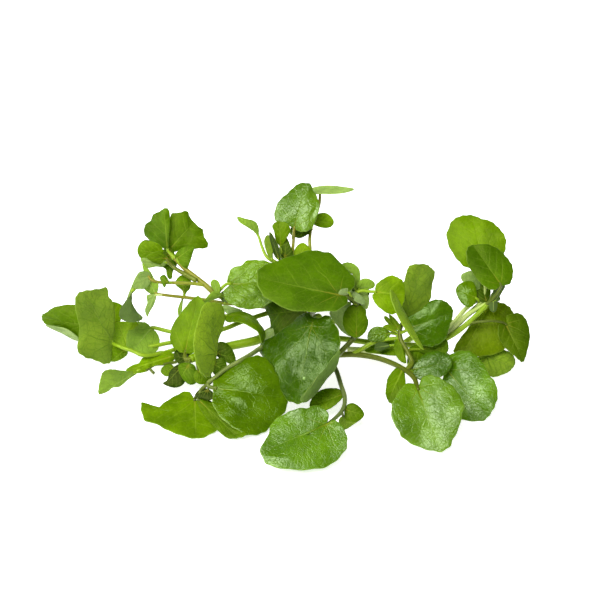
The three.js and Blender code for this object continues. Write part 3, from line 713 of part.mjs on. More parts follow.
// Back sprig, rising behind the middle of the bunch
const backBlades = [
  leaf('backFoot', upper, [15.6, 24.4, 1.8], [2, 26, 0.8], [8, 22, 1.2], [0.8, 0.6, 0, 0.2],
    [[15.6, 24.4], [12, 21.6], [7, 21.2], [2.8, 23], [1.4, 26], [3.6, 28.6], [8, 29], [12.6, 27.6]]),
  leaf('backWide', upper, [19, 33, 4.6], [8, 43, 9], [17, 43, 8], [1, 0.7, 0, 0.4],
    [[19, 33], [14.6, 32.6], [10.2, 34.6], [7.4, 38.6], [7.6, 42.6], [10.6, 45], [15, 44.6],
      [18.8, 41.8], [20.4, 37.4]]),
  leaf('backTop', upper, [17, 43, 11.4], [6, 49, 16], [14, 50, 17], [0.8, 0.5, 0, 0.3],
    [[17, 43], [13, 42], [8.6, 43.4], [5.6, 46.8], [6.6, 49.4], [10.6, 50.2], [14.6, 49], [17.2, 46]]),
  leaf('backLow', upper, [12, 18.6, 1.5], [0, 14, 0.6], [4, 20, 1.6], [0.7, 0.5, 0, 0.2],
    [[12, 18.6], [10, 14.6], [5.6, 12], [1, 12.2], [-0.6, 15], [1.6, 18.6], [5.8, 20.8], [10, 20.6]]),
  leaf('backLeft', upper, [-4, 38, 9], [-15, 41.4, 14], [-8, 44, 16], [0.8, 0.5, 0, 0.3],
    [[-4, 38], [-7, 35.8], [-11.6, 35.6], [-15, 38], [-15.8, 41.6], [-12.6, 44.2], [-8, 44.6], [-4.4, 41.8]]),
  leaf('backInner', under, [6, 41.2, 19], [-5, 42, 20], [0, 44.6, 23.5], [0.8, 0.5, 0, 0.3],
    [[6, 41.2], [3, 38], [-1.4, 37.4], [-5, 39.6], [-5.4, 43], [-1.8, 45.4], [2.8, 45.4], [5.8, 43.6]]),
  leaf('backOuter', under, [14.6, 38.6, 17], [23, 42.5, 21], [17, 44.6, 23.5], [0.8, 0.5, 0, 0.3],
    [[14.6, 38.6], [17.6, 36.6], [21.6, 37.4], [23.6, 40.6], [22.6, 44.4], [18.6, 45.4], [15, 43.6], [13.8, 41]]),
];
const backStalks = [
  stalk(1.1, 0.8, [[6, 9, 1.1], [9, 13.6, 1.2], [13, 20, 1.4], [17, 27, 2.2], [19, 33, 4.2],
    [19, 38.6, 7.6], [17.6, 42, 10.6]], 'backTop'),
  stalk(0.6, 0.5, [[18.4, 31, 3.4]], 'backWide'),
  stalk(0.6, 0.5, [[17, 27, 2.2]], 'backFoot'),
  stalk(0.6, 0.5, [[10.6, 16.2, 1.3]], 'backLow'),
  stalk(0.6, 0.5, [[14, 21.6, 1.5], [9, 24, 2], [2, 27.6, 2.6], [-2.4, 33.4, 5.4]], 'backLeft'),
  stalk(0.6, 0.5, [[19, 38.6, 7.6], [14, 41, 13], [9, 41.6, 17.4]], 'backInner'),
  stalk(0.5, 0.45, [[15, 40.6, 12]], 'backOuter'),
];

// Short sprig rising behind the right of the bunch
const backRightBlades = [
  leaf('backRightLow', upper, [47, 23.4, 1.5], [57, 23.4, 1], [52, 19.4, 0.6], [0.8, 0.5, 0, 0.2],
    [[47, 23.4], [48.4, 20.4], [52, 19], [55.8, 20.2], [57.4, 23.4], [56, 26.4], [52.4, 27.4], [49, 26.4]]),
  leaf('backRightTop', upper, [52, 28.6, 4.6], [44.6, 32, 8], [50, 33.4, 9], [0.8, 0.5, 0, 0.3],
    [[52, 28.6], [48.8, 27.6], [45.4, 29], [43.6, 31.8], [45.2, 34], [49, 34.4], [52, 32.4]]),
  leaf('backRightHigh', under, [47.4, 35.4, 12], [43.2, 44, 18], [49, 41, 18], [0.7, 0.5, 0, 0.3],
    [[47.4, 35.4], [43.6, 36.4], [42, 40], [43, 43.6], [46.4, 44.6], [49, 42], [49.6, 38.4]]),
  leaf('backRightInner', upper, [45.6, 33.4, 13], [40.6, 38, 17], [46, 38, 19], [0.7, 0.5, 0, 0.2],
    [[45.6, 33.4], [42, 33.2], [39.8, 35.8], [40.2, 38.8], [43.4, 39.8], [46.6, 38.2], [47.2, 35.4]]),
  leaf('backRightOut', upper, [53.4, 27, 3.6], [59, 24.4, 3.2], [55, 23, 1], [0.6, 0.4, 0, 0.2],
    [[53.4, 27], [54.6, 23.6], [57.4, 22.4], [59.6, 24.2], [59, 27], [56.2, 28.6]]),
];
const backRightStalks = [
  stalk(1.1, 0.7, [[42, 19.4, 1.1], [46, 22.4, 1.2], [49.4, 25.2, 1.8], [52, 27.6, 3.6]], 'backRightTop'),
  stalk(0.6, 0.5, [[45.4, 22, 1.2]], 'backRightLow'),
  stalk(0.65, 0.5, [[48.6, 24.6, 1.6], [50, 28.6, 5.4], [49.4, 32.2, 9.6]], 'backRightHigh'),
  stalk(0.5, 0.45, [[49.9, 30.2, 7.2], [48.2, 31.8, 10.8]], 'backRightInner'),
  stalk(0.5, 0.45, [[50.8, 26.4, 2.5]], 'backRightOut'),
];

const sprigs = [
  ['far_left_sprig', leafGreen, farLeftBlades, farLeftStalks],
  ['top_left_sprig', brightGreen, topLeftBlades, topLeftStalks],
  ['middle_left_sprig', yellowGreen, middleLeftBlades, middleLeftStalks],
  ['front_left_sprig', leafGreen, frontLeftBlades, frontLeftStalks],
  ['front_middle_sprig', brightGreen, frontMiddleBlades, frontMiddleStalks],
  ['top_sprig', leafGreen, topBlades, topStalks],
  ['middle_sprig', deepGreen, middleBlades, middleStalks],
  ['front_right_sprig', brightGreen, frontRightBlades, frontRightStalks],
  ['upper_right_sprig', leafGreen, upperRightBlades, upperRightStalks],
  ['right_sprig', yellowGreen, rightBlades, rightStalks],
  ['back_sprig', deepGreen, backBlades, backStalks],
  ['back_right_sprig', deepGreen, backRightBlades, backRightStalks],
];

// Fuses the leaves and stalks of one sprig into one solid, without loose scraps
function sprigMesh([name, color, blades, stalks]) {
  const stalkSolids = stalks.map((one) => (
    solidOf(stalkGeometry(stalkPath(one, blades), one.firstRadius, one.lastRadius))));
  const solids = [...blades.map((blade) => solidOf(bladeGeometry(blade))), ...stalkSolids];
  const pieces = solids.reduce((sum, solid) => sum.add(solid)).simplify(finestEdge).decompose();
  const whole = pieces.reduce((most, piece) => (piece.volume() > most.volume() ? piece : most));
  const material = new THREE.MeshStandardMaterial({ color, roughness: 0.45, metalness: 0 });
  const mesh = new THREE.Mesh(geometryOf(whole), material);
  mesh.name = name;
  return mesh;
}

const watercress = new THREE.Group();
watercress.add(...sprigs.map(sprigMesh));

export default watercress;
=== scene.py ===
import math

import bpy
import numpy as np
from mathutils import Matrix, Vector


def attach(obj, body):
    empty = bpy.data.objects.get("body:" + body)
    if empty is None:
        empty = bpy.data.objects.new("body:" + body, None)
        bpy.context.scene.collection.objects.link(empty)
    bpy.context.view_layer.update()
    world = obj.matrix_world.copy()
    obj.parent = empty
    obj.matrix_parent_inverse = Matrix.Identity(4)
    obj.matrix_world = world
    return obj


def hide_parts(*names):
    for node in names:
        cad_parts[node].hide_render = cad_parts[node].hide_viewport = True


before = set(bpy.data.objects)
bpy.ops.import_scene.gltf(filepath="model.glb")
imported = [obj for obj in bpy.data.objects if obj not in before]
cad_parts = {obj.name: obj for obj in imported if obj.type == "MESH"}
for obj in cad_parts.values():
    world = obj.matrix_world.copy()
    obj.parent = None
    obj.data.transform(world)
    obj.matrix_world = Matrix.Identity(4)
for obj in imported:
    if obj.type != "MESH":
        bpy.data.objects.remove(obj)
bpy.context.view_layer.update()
print("frame loaded:", len(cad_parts), "sprigs")

# All shapes are worked out in millimetres. The meshes are in metres, and what a leaf's material reads
# is in centimetres.
mm = 0.001
cm = 0.1

# The lie of the bunch is set out as the camera sees it: across, up and height above the surface.
# Across and up are measured in an upright sheet that faces the eye.
eyeSetup = {
    "elevation": 35.0,
    "distance": 900.0,
    "sheetCentre": (5.25, 34.3),
    "sheetWidth": 210.0,
    "middleOfBunch": (-1.0, 12.7, 0.0),
}
elevation = math.radians(eyeSetup["elevation"])
acrossAxis = np.array([1.0, 0.0, 0.0])
upAxis = np.array([0.0, math.sin(elevation), math.cos(elevation)])
eyeAxis = np.array([0.0, -math.cos(elevation), math.sin(elevation)])
middleOfBunch = np.array(eyeSetup["middleOfBunch"])


def unit(v):
    return v / np.linalg.norm(v, axis=-1, keepdims=True)


def sheetPoint(place):
    # across times the X axis, plus up times the sheet's own upright axis
    place = np.asarray(place, float)
    return place[..., :1] * acrossAxis + place[..., 1:2] * upAxis


eye = sheetPoint(eyeSetup["sheetCentre"]) + eyeSetup["distance"] * eyeAxis


def spot(points):
    # Where the ray from the eye through a place in the sheet reaches the given height
    points = np.asarray(points, float)
    ray = sheetPoint(points) - eye
    return eye + ray * (points[..., 2:3] - eye[2]) / ray[..., 2:3]


def closedCurve(points, turn):
    # A closed Catmull-Rom curve: at each turn, the cubic through the four nearest points,
    # which all lie 1 / count of a turn apart
    count = len(points)
    place = np.mod(turn, 1) * count
    k = np.floor(place).astype(int)
    t = (place - k)[..., None]
    a, b, c, d = (points[(k + step) % count] for step in (-1, 0, 1, 2))
    return 0.5 * (2 * b + (c - a) * t + (2 * a - 5 * b + 4 * c - d) * t ** 2
                  + (3 * b - a - 3 * c + d) * t ** 3)


def openLine(points, samples=28):
    # A centripetal Catmull-Rom line: cubic pieces whose knots are apart by the root of the points' distance.
    # Returns its points and how far along each is.
    points = np.asarray(points, float)
    ghosts = np.vstack([2 * points[:1] - points[1:2], points, 2 * points[-1:] - points[-2:-1]])
    gaps = np.sqrt(np.linalg.norm(np.diff(ghosts, axis=0), axis=1))
    t = np.linspace(0, 1, samples, endpoint=False)[:, None]
    pieces = []
    for k in range(len(points) - 1):
        p0, p1, p2, p3 = ghosts[k:k + 4]
        d0, d1, d2 = gaps[k:k + 3]
        m1 = ((p1 - p0) / d0 - (p2 - p0) / (d0 + d1) + (p2 - p1) / d1) * d1
        m2 = ((p2 - p1) / d1 - (p3 - p1) / (d1 + d2) + (p3 - p2) / d2) * d1
        pieces.append(p1 + m1 * t + (3 * (p2 - p1) - 2 * m1 - m2) * t ** 2
                      + (2 * (p1 - p2) + m1 + m2) * t ** 3)
    line = np.vstack([*pieces, points[-1:]])
    return line, np.append(0, np.cumsum(np.linalg.norm(np.diff(line, axis=0), axis=1)))


def alongLine(line, share):
    # The point at a share of the line's length, by linear steps between its samples
    points, reach = line
    share = np.clip(share, 0, 1) * reach[-1]
    return np.stack([np.interp(share, reach, points[:, i]) for i in range(3)], axis=-1)


def heading(line, share, step=0.004):
    # The line's direction: from one step before the share to one step after it
    return unit(alongLine(line, np.minimum(share + step, 1)) - alongLine(line, np.maximum(share - step, 0)))


# What gives every leaf its form. Lengths are in millimetres. The laterals are the side veins: how many there
# are along a leaf, how they lean and curve to its tip, and how far one half's are shifted along the other's.
bladeForm = {
    "thickness": 0.42,
    "foldSpread": 0.35,
    "marginWaves": 5,
    "wavePhase": 1.7,
    "ovateSkew": 0.25,
    "crenations": 19,
    "crenation": 0.012,
    "ribHeight": 0.2,
    "ribWidth": 0.5,
    "ribReach": 1.15,
    "lateralCount": 4.2,
    "lateralLean": 0.4,
    "lateralCurve": 0.25,
    "lateralShift": 0.35,
}

# Which face of a leaf is seen from the eye
upper = 1
under = 0


def creased(place, folds, ridges):
    # Rise of a blade at places in the sheet, gap away from a fold's or a ridge's line. A fold, on the line's
    # left hand, adds slope softness log(1 + exp(gap / softness)). A ridge adds height exp(-(gap / width)^2).
    rise = np.zeros(place.shape[:-1])
    for start, end, slope, softness in folds:
        start, end = np.array(start, float), np.array(end, float)
        along = unit(end - start)
        gap = (place[..., 1] - start[1]) * along[0] - (place[..., 0] - start[0]) * along[1]
        rise += slope * softness * np.logaddexp(0, gap / softness)
    for start, end, height, width in ridges:
        start, end = np.array(start, float), np.array(end, float)
        span = end - start
        share = np.clip(((place - start) @ span) / (span @ span), 0, 1)
        gap = np.linalg.norm(place - start - share[..., None] * span, axis=-1)
        rise += height * np.exp(-(gap / width) ** 2)
    return rise


def leaf(name, face, look, foot, tip, edge, bend, rim, folds=(), ridges=()):
    # A leaf drawn by its outline in the sheet, on the plane through its foot, tip and one edge point.
    # It rises to the eye by dome (1 - share^2) - fold exp(-|side| / spread) - droop (run / length)^2
    # + wave share^3 sin(margin waves), plus its creases, and its rim has notches, share^6 sin(crenations).
    # Share goes from 0 at the outline's middle to 1 at the rim. Run and side are along and across the rib.
    foot, tip, rim = np.array(foot, float), np.array(tip, float), np.array(rim, float)
    dome, fold, droop, wave = bend
    start = spot(foot)
    length = np.linalg.norm(spot(tip) - start)
    along = (spot(tip) - start) / length
    facing = unit(np.cross(along, spot(edge) - start))
    facing = facing if facing @ eyeAxis > 0 else -facing
    acrossRib = np.cross(facing, along)

    def onPlane(place):
        ray = sheetPoint(place) - eye
        return eye + ray * ((start - eye) @ facing / (ray @ facing))[..., None]

    def flat(place):
        offset = onPlane(place) - start
        return offset @ along, offset @ acrossRib

    halfWidth = np.abs(flat(rim)[1]).max()
    middle = rim.mean(axis=0)
    phase = bladeForm["wavePhase"] * len(rim) + foot[0]

    def bent(place, turn, share):
        run, side = flat(place)
        waves = np.sin(2 * np.pi * bladeForm["marginWaves"] * turn + phase)
        rise = (dome * (1 - share ** 2) - fold * np.exp(-np.abs(side) / (bladeForm["foldSpread"] * halfWidth))
                - droop * (run / length) ** 2 + wave * share ** 3 * waves + creased(place, folds, ridges))
        base = onPlane(place)
        return base + unit(eye - base) * rise[..., None], run, side

    def surface(turn, share):
        outline = closedCurve(rim, turn)
        notches = np.sin(2 * np.pi * bladeForm["crenations"] * turn + phase)
        notch = 1 + bladeForm["crenation"] * notches * share ** 6
        return bent(middle + (share * notch)[..., None] * (outline - middle), turn, share)

    def ribPoint(share):
        return bent(foot[:2] + share * (tip[:2] - foot[:2]), 0.0, np.array(1 - 2 * share))[0]

    return {"name": name, "face": face, "look": look, "surface": surface, "ribPoint": ribPoint,
            "length": length, "halfWidth": halfWidth}


def curled(name, face, look, rib, halfWidth, rolls, cup):
    # A leaf seen edge on or curled: an egg shape on a rib, run = 0.5 - 0.5 share cos(turn) and
    # side = halfWidth share sin(turn) (1 + skew cos(turn)), turned about the rib from the first roll
    # to the second, in degrees, and lifted by cup (side / halfWidth)^2
    line = openLine(spot(rib))

    def placed(run, side):
        run = np.asarray(run, float)
        tangent = heading(line, run)
        level = unit(np.cross(tangent, eyeAxis))
        raised = unit(np.cross(level, tangent))
        roll = np.radians(rolls[0] + (rolls[1] - rolls[0]) * run)[..., None]
        sideways = level * np.cos(roll) + raised * np.sin(roll)
        facing = unit(np.cross(sideways, tangent))
        lift = cup * (side / halfWidth) ** 2
        return alongLine(line, run) + sideways * side[..., None] + facing * lift[..., None]

    def surface(turn, share):
        angle = 2 * np.pi * turn
        run = 0.5 - 0.5 * share * np.cos(angle)
        side = halfWidth * share * np.sin(angle) * (1 + bladeForm["ovateSkew"] * np.cos(angle))
        return placed(run, side), run * line[1][-1], side

    def ribPoint(share):
        return placed(np.array(share), np.array(0.0))

    return {"name": name, "face": face, "look": look, "surface": surface, "ribPoint": ribPoint,
            "length": line[1][-1], "halfWidth": halfWidth}


def stalk(firstRadius, lastRadius, points, carries=None, look="plain"):
    # A stem or leaf stalk along places in the sheet, which ends in the rib of the leaf that it carries
    return {"radii": (firstRadius, lastRadius), "points": points, "carries": carries, "look": look}


# Far left sprig
farLeftLeaves = [
    leaf("tallUnderside", under, "underNet", [-60.5, 19.3, 9], [-70, 37, 25], [-66, 12.5, 4],
        [1, 0.8, 0, 0.5],
        [[-60.4, 19.5], [-61, 12.9], [-63.3, 12], [-66.5, 13.2], [-70, 14.2], [-72.6, 16.5], [-72.4, 20.5],
        [-72, 25], [-73.2, 30], [-73.5, 34.5], [-72.3, 36.8], [-69.5, 37.7], [-66, 38.1], [-62.3, 38.7],
        [-61.7, 35.8], [-60, 32.5], [-59.6, 25.5]]),
    leaf("outerPoint", upper, "mid", [-62, 24, 7], [-85, 28.2, 7], [-75, 32.6, 13], [1.5, 0.6, 0.5, 0.4],
        [[-62, 24], [-66, 31], [-73.5, 32.8], [-80.5, 31.9], [-83.5, 30], [-85.1, 29], [-84.8, 27],
        [-83, 25.2], [-78, 23.2], [-73, 20.6], [-66, 20]]),
    leaf("outerTurnedEdge", under, "pale", [-71.5, 20.8, 3], [-84, 25.6, 5.6], [-77, 24.3, 6.4],
        [0.2, 0, 0, 0],
        [[-71.7, 20.4], [-73.5, 22.3], [-76.7, 24.2], [-80, 25], [-83.8, 25.5], [-78, 22.4], [-74, 20.5]]),
    leaf("behindTall", upper, "fresh", [-59.5, 25, 8], [-59.3, 33.6, 13], [-56.8, 30, 10], [0.4, 0, 0, 0.2],
        [[-59, 25], [-61.5, 28], [-61.3, 33], [-59.8, 33.6], [-57, 32.3], [-56.8, 29.5], [-57.8, 26.5]]),
    leaf("brightInner", upper, "light", [-55, 18, 6], [-58.5, 26.4, 10.5], [-53, 24, 9.5],
        [0.8, 0.6, 0, 0.3],
        [[-55.5, 17.2], [-58.5, 17.5], [-60.5, 21], [-59.6, 26], [-55.5, 26.8], [-51.5, 26.3],
        [-52, 21.5]]),
    leaf("broadInner", under, "underSoft", [-46.6, 24.6, 9.5], [-53.5, 16.3, 6.5], [-44.5, 17.5, 6.5],
        [1.2, 0.6, 0, 0.3],
        [[-46.8, 24.8], [-49, 26.6], [-53, 26.3], [-55.2, 22.5], [-55.5, 18.2], [-53.8, 16.3],
        [-49.6, 14.1], [-46.3, 15.2], [-44.3, 17.3], [-43.8, 20.2], [-44.8, 22.8]]),
    leaf("lowerLobe", upper, "bright", [-56, 17.2, 6], [-60.3, 13.4, 3], [-56, 14.6, 3.5], [0.5, 0, 0, 0.2],
        [[-55.5, 17.2], [-59, 18.6], [-62, 17.5], [-61.7, 13.2], [-58.5, 13], [-55.3, 15.2]]),
    leaf("lowTwistInner", upper, "fresh", [-40, 14.4, 5.5], [-54, 10, 4.5], [-45, 16, 6.5],
        [0.8, -0.5, 0, 0.3],
        [[-38.6, 13.4], [-39, 15.7], [-43, 16.4], [-47, 15.2], [-49.8, 13.9], [-51.2, 12], [-54, 11.1],
        [-55.7, 9.4], [-52.3, 8.6], [-48.8, 9.2], [-46, 11.3], [-41.5, 11.9]]),
    leaf("lowTwistOuter", under, "underSoft", [-52.5, 9, 4.2], [-64.3, 2, 0.6], [-60, 4, 1.2],
        [0.7, 0.3, 0, 0.2],
        [[-51.8, 8.8], [-57, 9.6], [-61, 10.1], [-63.7, 9.2], [-64.8, 6], [-65.4, 2.3], [-64.7, -0.1],
        [-63.2, 0.8], [-60.6, 3.5], [-58, 4], [-55, 6.3]]),
]
farLeftStalks = [
    stalk(1, 0.7, [[12, 34, 7.5], [4, 32.2, 10], [-5, 30, 13], [-15, 26.7, 13.5], [-21, 24.3, 12],
        [-30, 22, 9.5], [-40, 23.2, 9.3]], "broadInner"),
    stalk(0.85, 0.6, [[-27, 21.8, 10], [-33, 19, 6], [-40, 16.5, 5.5], [-46, 15, 7.2], [-50, 15, 8.2],
        [-53, 16.3, 8.8], [-57, 17.7, 9.2]], "tallUnderside"),
    stalk(0.8, 0.65, [[-30, 20.7, 8], [-36, 19.8, 7.5], [-41, 19.2, 7.5], [-47, 18, 7.2], [-52, 18, 6.4]],
        "brightInner"),
    stalk(0.55, 0.5, [[-36, 17.6, 5.5], [-38.5, 15.5, 5.4]], "lowTwistInner"),
    stalk(0.5, 0.45, [[-50, 10.2, 4.6], [-52, 9.4, 4.4]], "lowTwistOuter"),
    stalk(0.5, 0.45, [[-50, 18, 6.8], [-55, 20, 7]], "behindTall"),
    stalk(0.5, 0.45, [[-53.5, 17, 7], [-55, 17, 6.3]], "lowerLobe"),
    stalk(0.55, 0.5, [[-50, 18.2, 6.9], [-56, 21, 6.6]], "outerPoint"),
    stalk(0.5, 0.4, [[-68.6, 23.4, 5.2], [-70.4, 21.9, 4]], "outerTurnedEdge"),
    stalk(0.55, 0.5, [[-38, 12.6, 4.6], [-42, 11.9, 4.6], [-45.6, 11.6, 4.6], [-48.6, 9.6, 4.2]],
        look="dark"),
    stalk(0.5, 0.5, [[-47.6, 10.6, 4.3], [-46.6, 9.4, 3.8], [-45.8, 8.6, 3.4]], look="dark"),
]

# Top left sprig, with the blistered leaf and the arched leaf beside it
topLeftLeaves = [
    leaf("crownLeft", upper, "deep", [-41, 51.5, 31], [-42.5, 66.3, 42], [-49, 58.5, 34.5],
        [1, -0.6, 0, 0.4],
        [[-41, 51.7], [-44.2, 53.4], [-46.7, 54.7], [-49.2, 57.3], [-48.9, 60.4], [-46.9, 62],
        [-46.1, 64.2], [-44, 65.3], [-42.1, 66.5], [-40.6, 65.8], [-40.2, 62], [-40.6, 56]]),
    leaf("crownRight", upper, "mid", [-41, 51.5, 30], [-31.5, 62, 37], [-28, 53, 30], [1, 0.6, 0, 0.5],
        [[-40.9, 51.3], [-40.6, 57], [-40.1, 64], [-37, 64.9], [-34.4, 65.4], [-33.2, 63.2], [-30.2, 60],
        [-28.9, 59], [-28.3, 56.2], [-26.9, 54.3], [-27.6, 52.5], [-31, 52.2], [-36, 51.8]]),
    leaf("crownSmall", upper, "mid", [-43, 50.5, 31.5], [-51.2, 51.8, 32], [-47.5, 55.2, 35.5],
        [0.8, 0.4, 0, 0.2],
        [[-42.6, 50.4], [-43.6, 53.5], [-47, 55], [-49.2, 55.3], [-51, 53.6], [-51.6, 51], [-49.8, 48.2],
        [-46.5, 48.6]]),
    leaf("crownBud", upper, "mid", [-41.8, 49, 31.5], [-48.3, 49.3, 32.5], [-45, 51, 34], [0.5, 0.3, 0, 0],
        [[-41.5, 49], [-43.5, 51.3], [-46, 51], [-48.5, 49.6], [-46.5, 47.8], [-43.5, 47]]),
    leaf("crownPale", under, "underPale", [-42, 47.6, 30], [-50.2, 47.6, 30], [-46, 46.2, 28.5],
        [0.3, 0, 0, 0],
        [[-41.6, 48], [-46, 48.8], [-50.5, 48.8], [-48.5, 45.7], [-45, 46], [-42.5, 46]]),
    leaf("crownDark", upper, "deep", [-40.2, 50.5, 29.6], [-40.8, 42, 24], [-43, 46, 26.8],
        [0.5, 0.4, 0, 0.2],
        [[-40.2, 53], [-43, 51.4], [-43.5, 46.6], [-41.7, 45], [-41, 42], [-39.6, 41.8], [-39.2, 44.3],
        [-37.8, 46.5], [-38, 49]]),
    leaf("brightSide", upper, "deep", [-37.9, 48.8, 31], [-32, 52.8, 34.5], [-34, 46, 29.5],
        [0.7, 0.5, 0, 0.3],
        [[-38.6, 49.7], [-36.8, 52], [-34.3, 53.2], [-31.6, 53.2], [-32.2, 51], [-33.4, 47], [-34.5, 45.2],
        [-36.8, 47]]),
    leaf("paleTwistUpper", under, "underPale", [-47.8, 42.6, 28.5], [-55, 35.6, 24], [-50.5, 44, 29.5],
        [0.4, 0.3, 0, 0],
        [[-47, 43.6], [-50.4, 44.4], [-52.2, 42.5], [-53.5, 39.5], [-55.4, 34.8], [-53.6, 36.6], [-52, 38],
        [-49, 38.3], [-47, 40.4]]),
    leaf("darkTwistLower", upper, "slate", [-54, 36.6, 24.5], [-50.4, 27.4, 18], [-57.8, 29, 18.5],
        [0.6, 0.4, 0, 0.3],
        [[-53.9, 36.8], [-55.3, 34.6], [-57.8, 30.6], [-57.6, 27.8], [-54.5, 26.5], [-51, 26.9],
        [-49.8, 28.2], [-51.8, 30.3], [-53.4, 33.2]]),
    leaf("paleHanging", under, "underSoft", [-45.2, 36.6, 24], [-48.6, 43, 27.5], [-44.3, 39.2, 26.5],
        [0.5, 0, 0, 0.2],
        [[-45, 36.3], [-47.3, 36.6], [-49.4, 38.7], [-48.8, 42], [-49.9, 47.2], [-47.5, 44.8],
        [-45.6, 41.6], [-44.3, 39.8]]),
    leaf("paleTail", under, "underPale", [-45.6, 35.9, 23.6], [-48.2, 28.6, 18.5], [-48.4, 32, 20.6],
        [0.3, 0, 0, 0.1],
        [[-45.2, 36], [-48.2, 36], [-48.1, 33.3], [-48.9, 30.8], [-48.2, 28.4], [-47.4, 30], [-45.7, 33]]),
    leaf("hangingOval", upper, "mid", [-35.3, 36, 21.5], [-36, 43, 25.5], [-38.2, 40.3, 23.5],
        [0.5, 0.2, 0, 0.1],
        [[-35.2, 35.6], [-36, 37.6], [-38.3, 39.8], [-37.3, 42.2], [-35, 43.1], [-33, 41.5], [-33.2, 38.5],
        [-34.4, 37]]),
    leaf("thinHanging", under, "underSoft", [-35.9, 34.8, 20.5], [-36.9, 28.4, 16], [-37.5, 31, 17.5],
        [0.2, 0, 0, 0],
        [[-35.7, 35], [-36.7, 33.2], [-37.6, 30.5], [-37, 28.2], [-36.1, 30.2], [-35.8, 32.8]]),
    leaf("nubLeaf", upper, "deep", [-41.2, 40.4, 27.3], [-43.4, 42.4, 28.5], [-42.5, 39, 26.4],
        [0.4, 0, 0, 0],
        [[-40.6, 40.8], [-42.2, 43.1], [-43.8, 42.2], [-43.3, 40.8], [-42.2, 38.6], [-41.4, 40]]),
    leaf("blistered", upper, "blister", [-19.5, 40, 28.5], [-2, 40.5, 29], [-12, 31.2, 24],
        [1.3, 0.5, 0, 0.6],
        [[-19.2, 40], [-20.4, 41], [-19.9, 43.3], [-18.4, 45.5], [-15.2, 46.2], [-13.3, 47.9], [-10, 48.3],
        [-6.5, 47.9], [-3, 45.5], [-1.5, 40], [-4, 34.5], [-8.2, 31.6], [-13.5, 31.1], [-18, 32.3],
        [-20.7, 34.2], [-21.5, 37.3]],
        folds=[[[-21, 31], [0, 31], 0.14, 1]],
        ridges=[[[-19, 40], [-4, 40.4], -0.3, 0.8]]),
    leaf("smallUpright", under, "underSoft", [-23.8, 37, 25], [-24.8, 41.4, 28], [-22.7, 39, 27],
        [0.3, 0, 0, 0],
        [[-23.2, 36.8], [-25, 37.8], [-26, 40], [-25, 41.5], [-23.3, 40.8], [-22.6, 38.8]]),
    leaf("smallBright", upper, "underSoft", [-22.6, 36.2, 24.5], [-28.6, 33.2, 22], [-26, 36.8, 25.5],
        [0.4, 0.2, 0, 0],
        [[-22, 36.5], [-24.8, 37.4], [-26.8, 36], [-28.8, 33], [-25.5, 34.4], [-22.8, 35.4]]),
    leaf("smallGrey", under, "pale", [-21, 33.4, 20], [-21.2, 37.4, 24], [-22.8, 35.5, 22], [0.2, 0, 0, 0],
        [[-20.6, 33.2], [-22.4, 34.4], [-22.9, 36.2], [-21.2, 37.6], [-20.3, 35.4]]),
    leaf("greyUnder", under, "pale", [-22, 31.5, 19], [-15.2, 30.4, 18.5], [-19, 29.4, 17.5],
        [0.4, 0, 0, 0.1],
        [[-22, 31.8], [-20.8, 32.6], [-17.5, 31.6], [-14.8, 30.5], [-17, 29.4], [-20, 29.3]]),
    curled("archedLeaf", upper, "mid", [[-21, 28.9, 18.2], [-16, 28.9, 20.2], [-11.3, 26.8, 20.5],
        [-8.3, 23.4, 18.7], [-8.2, 19.2, 16]], 4.6, [62, 70], -0.8),
]
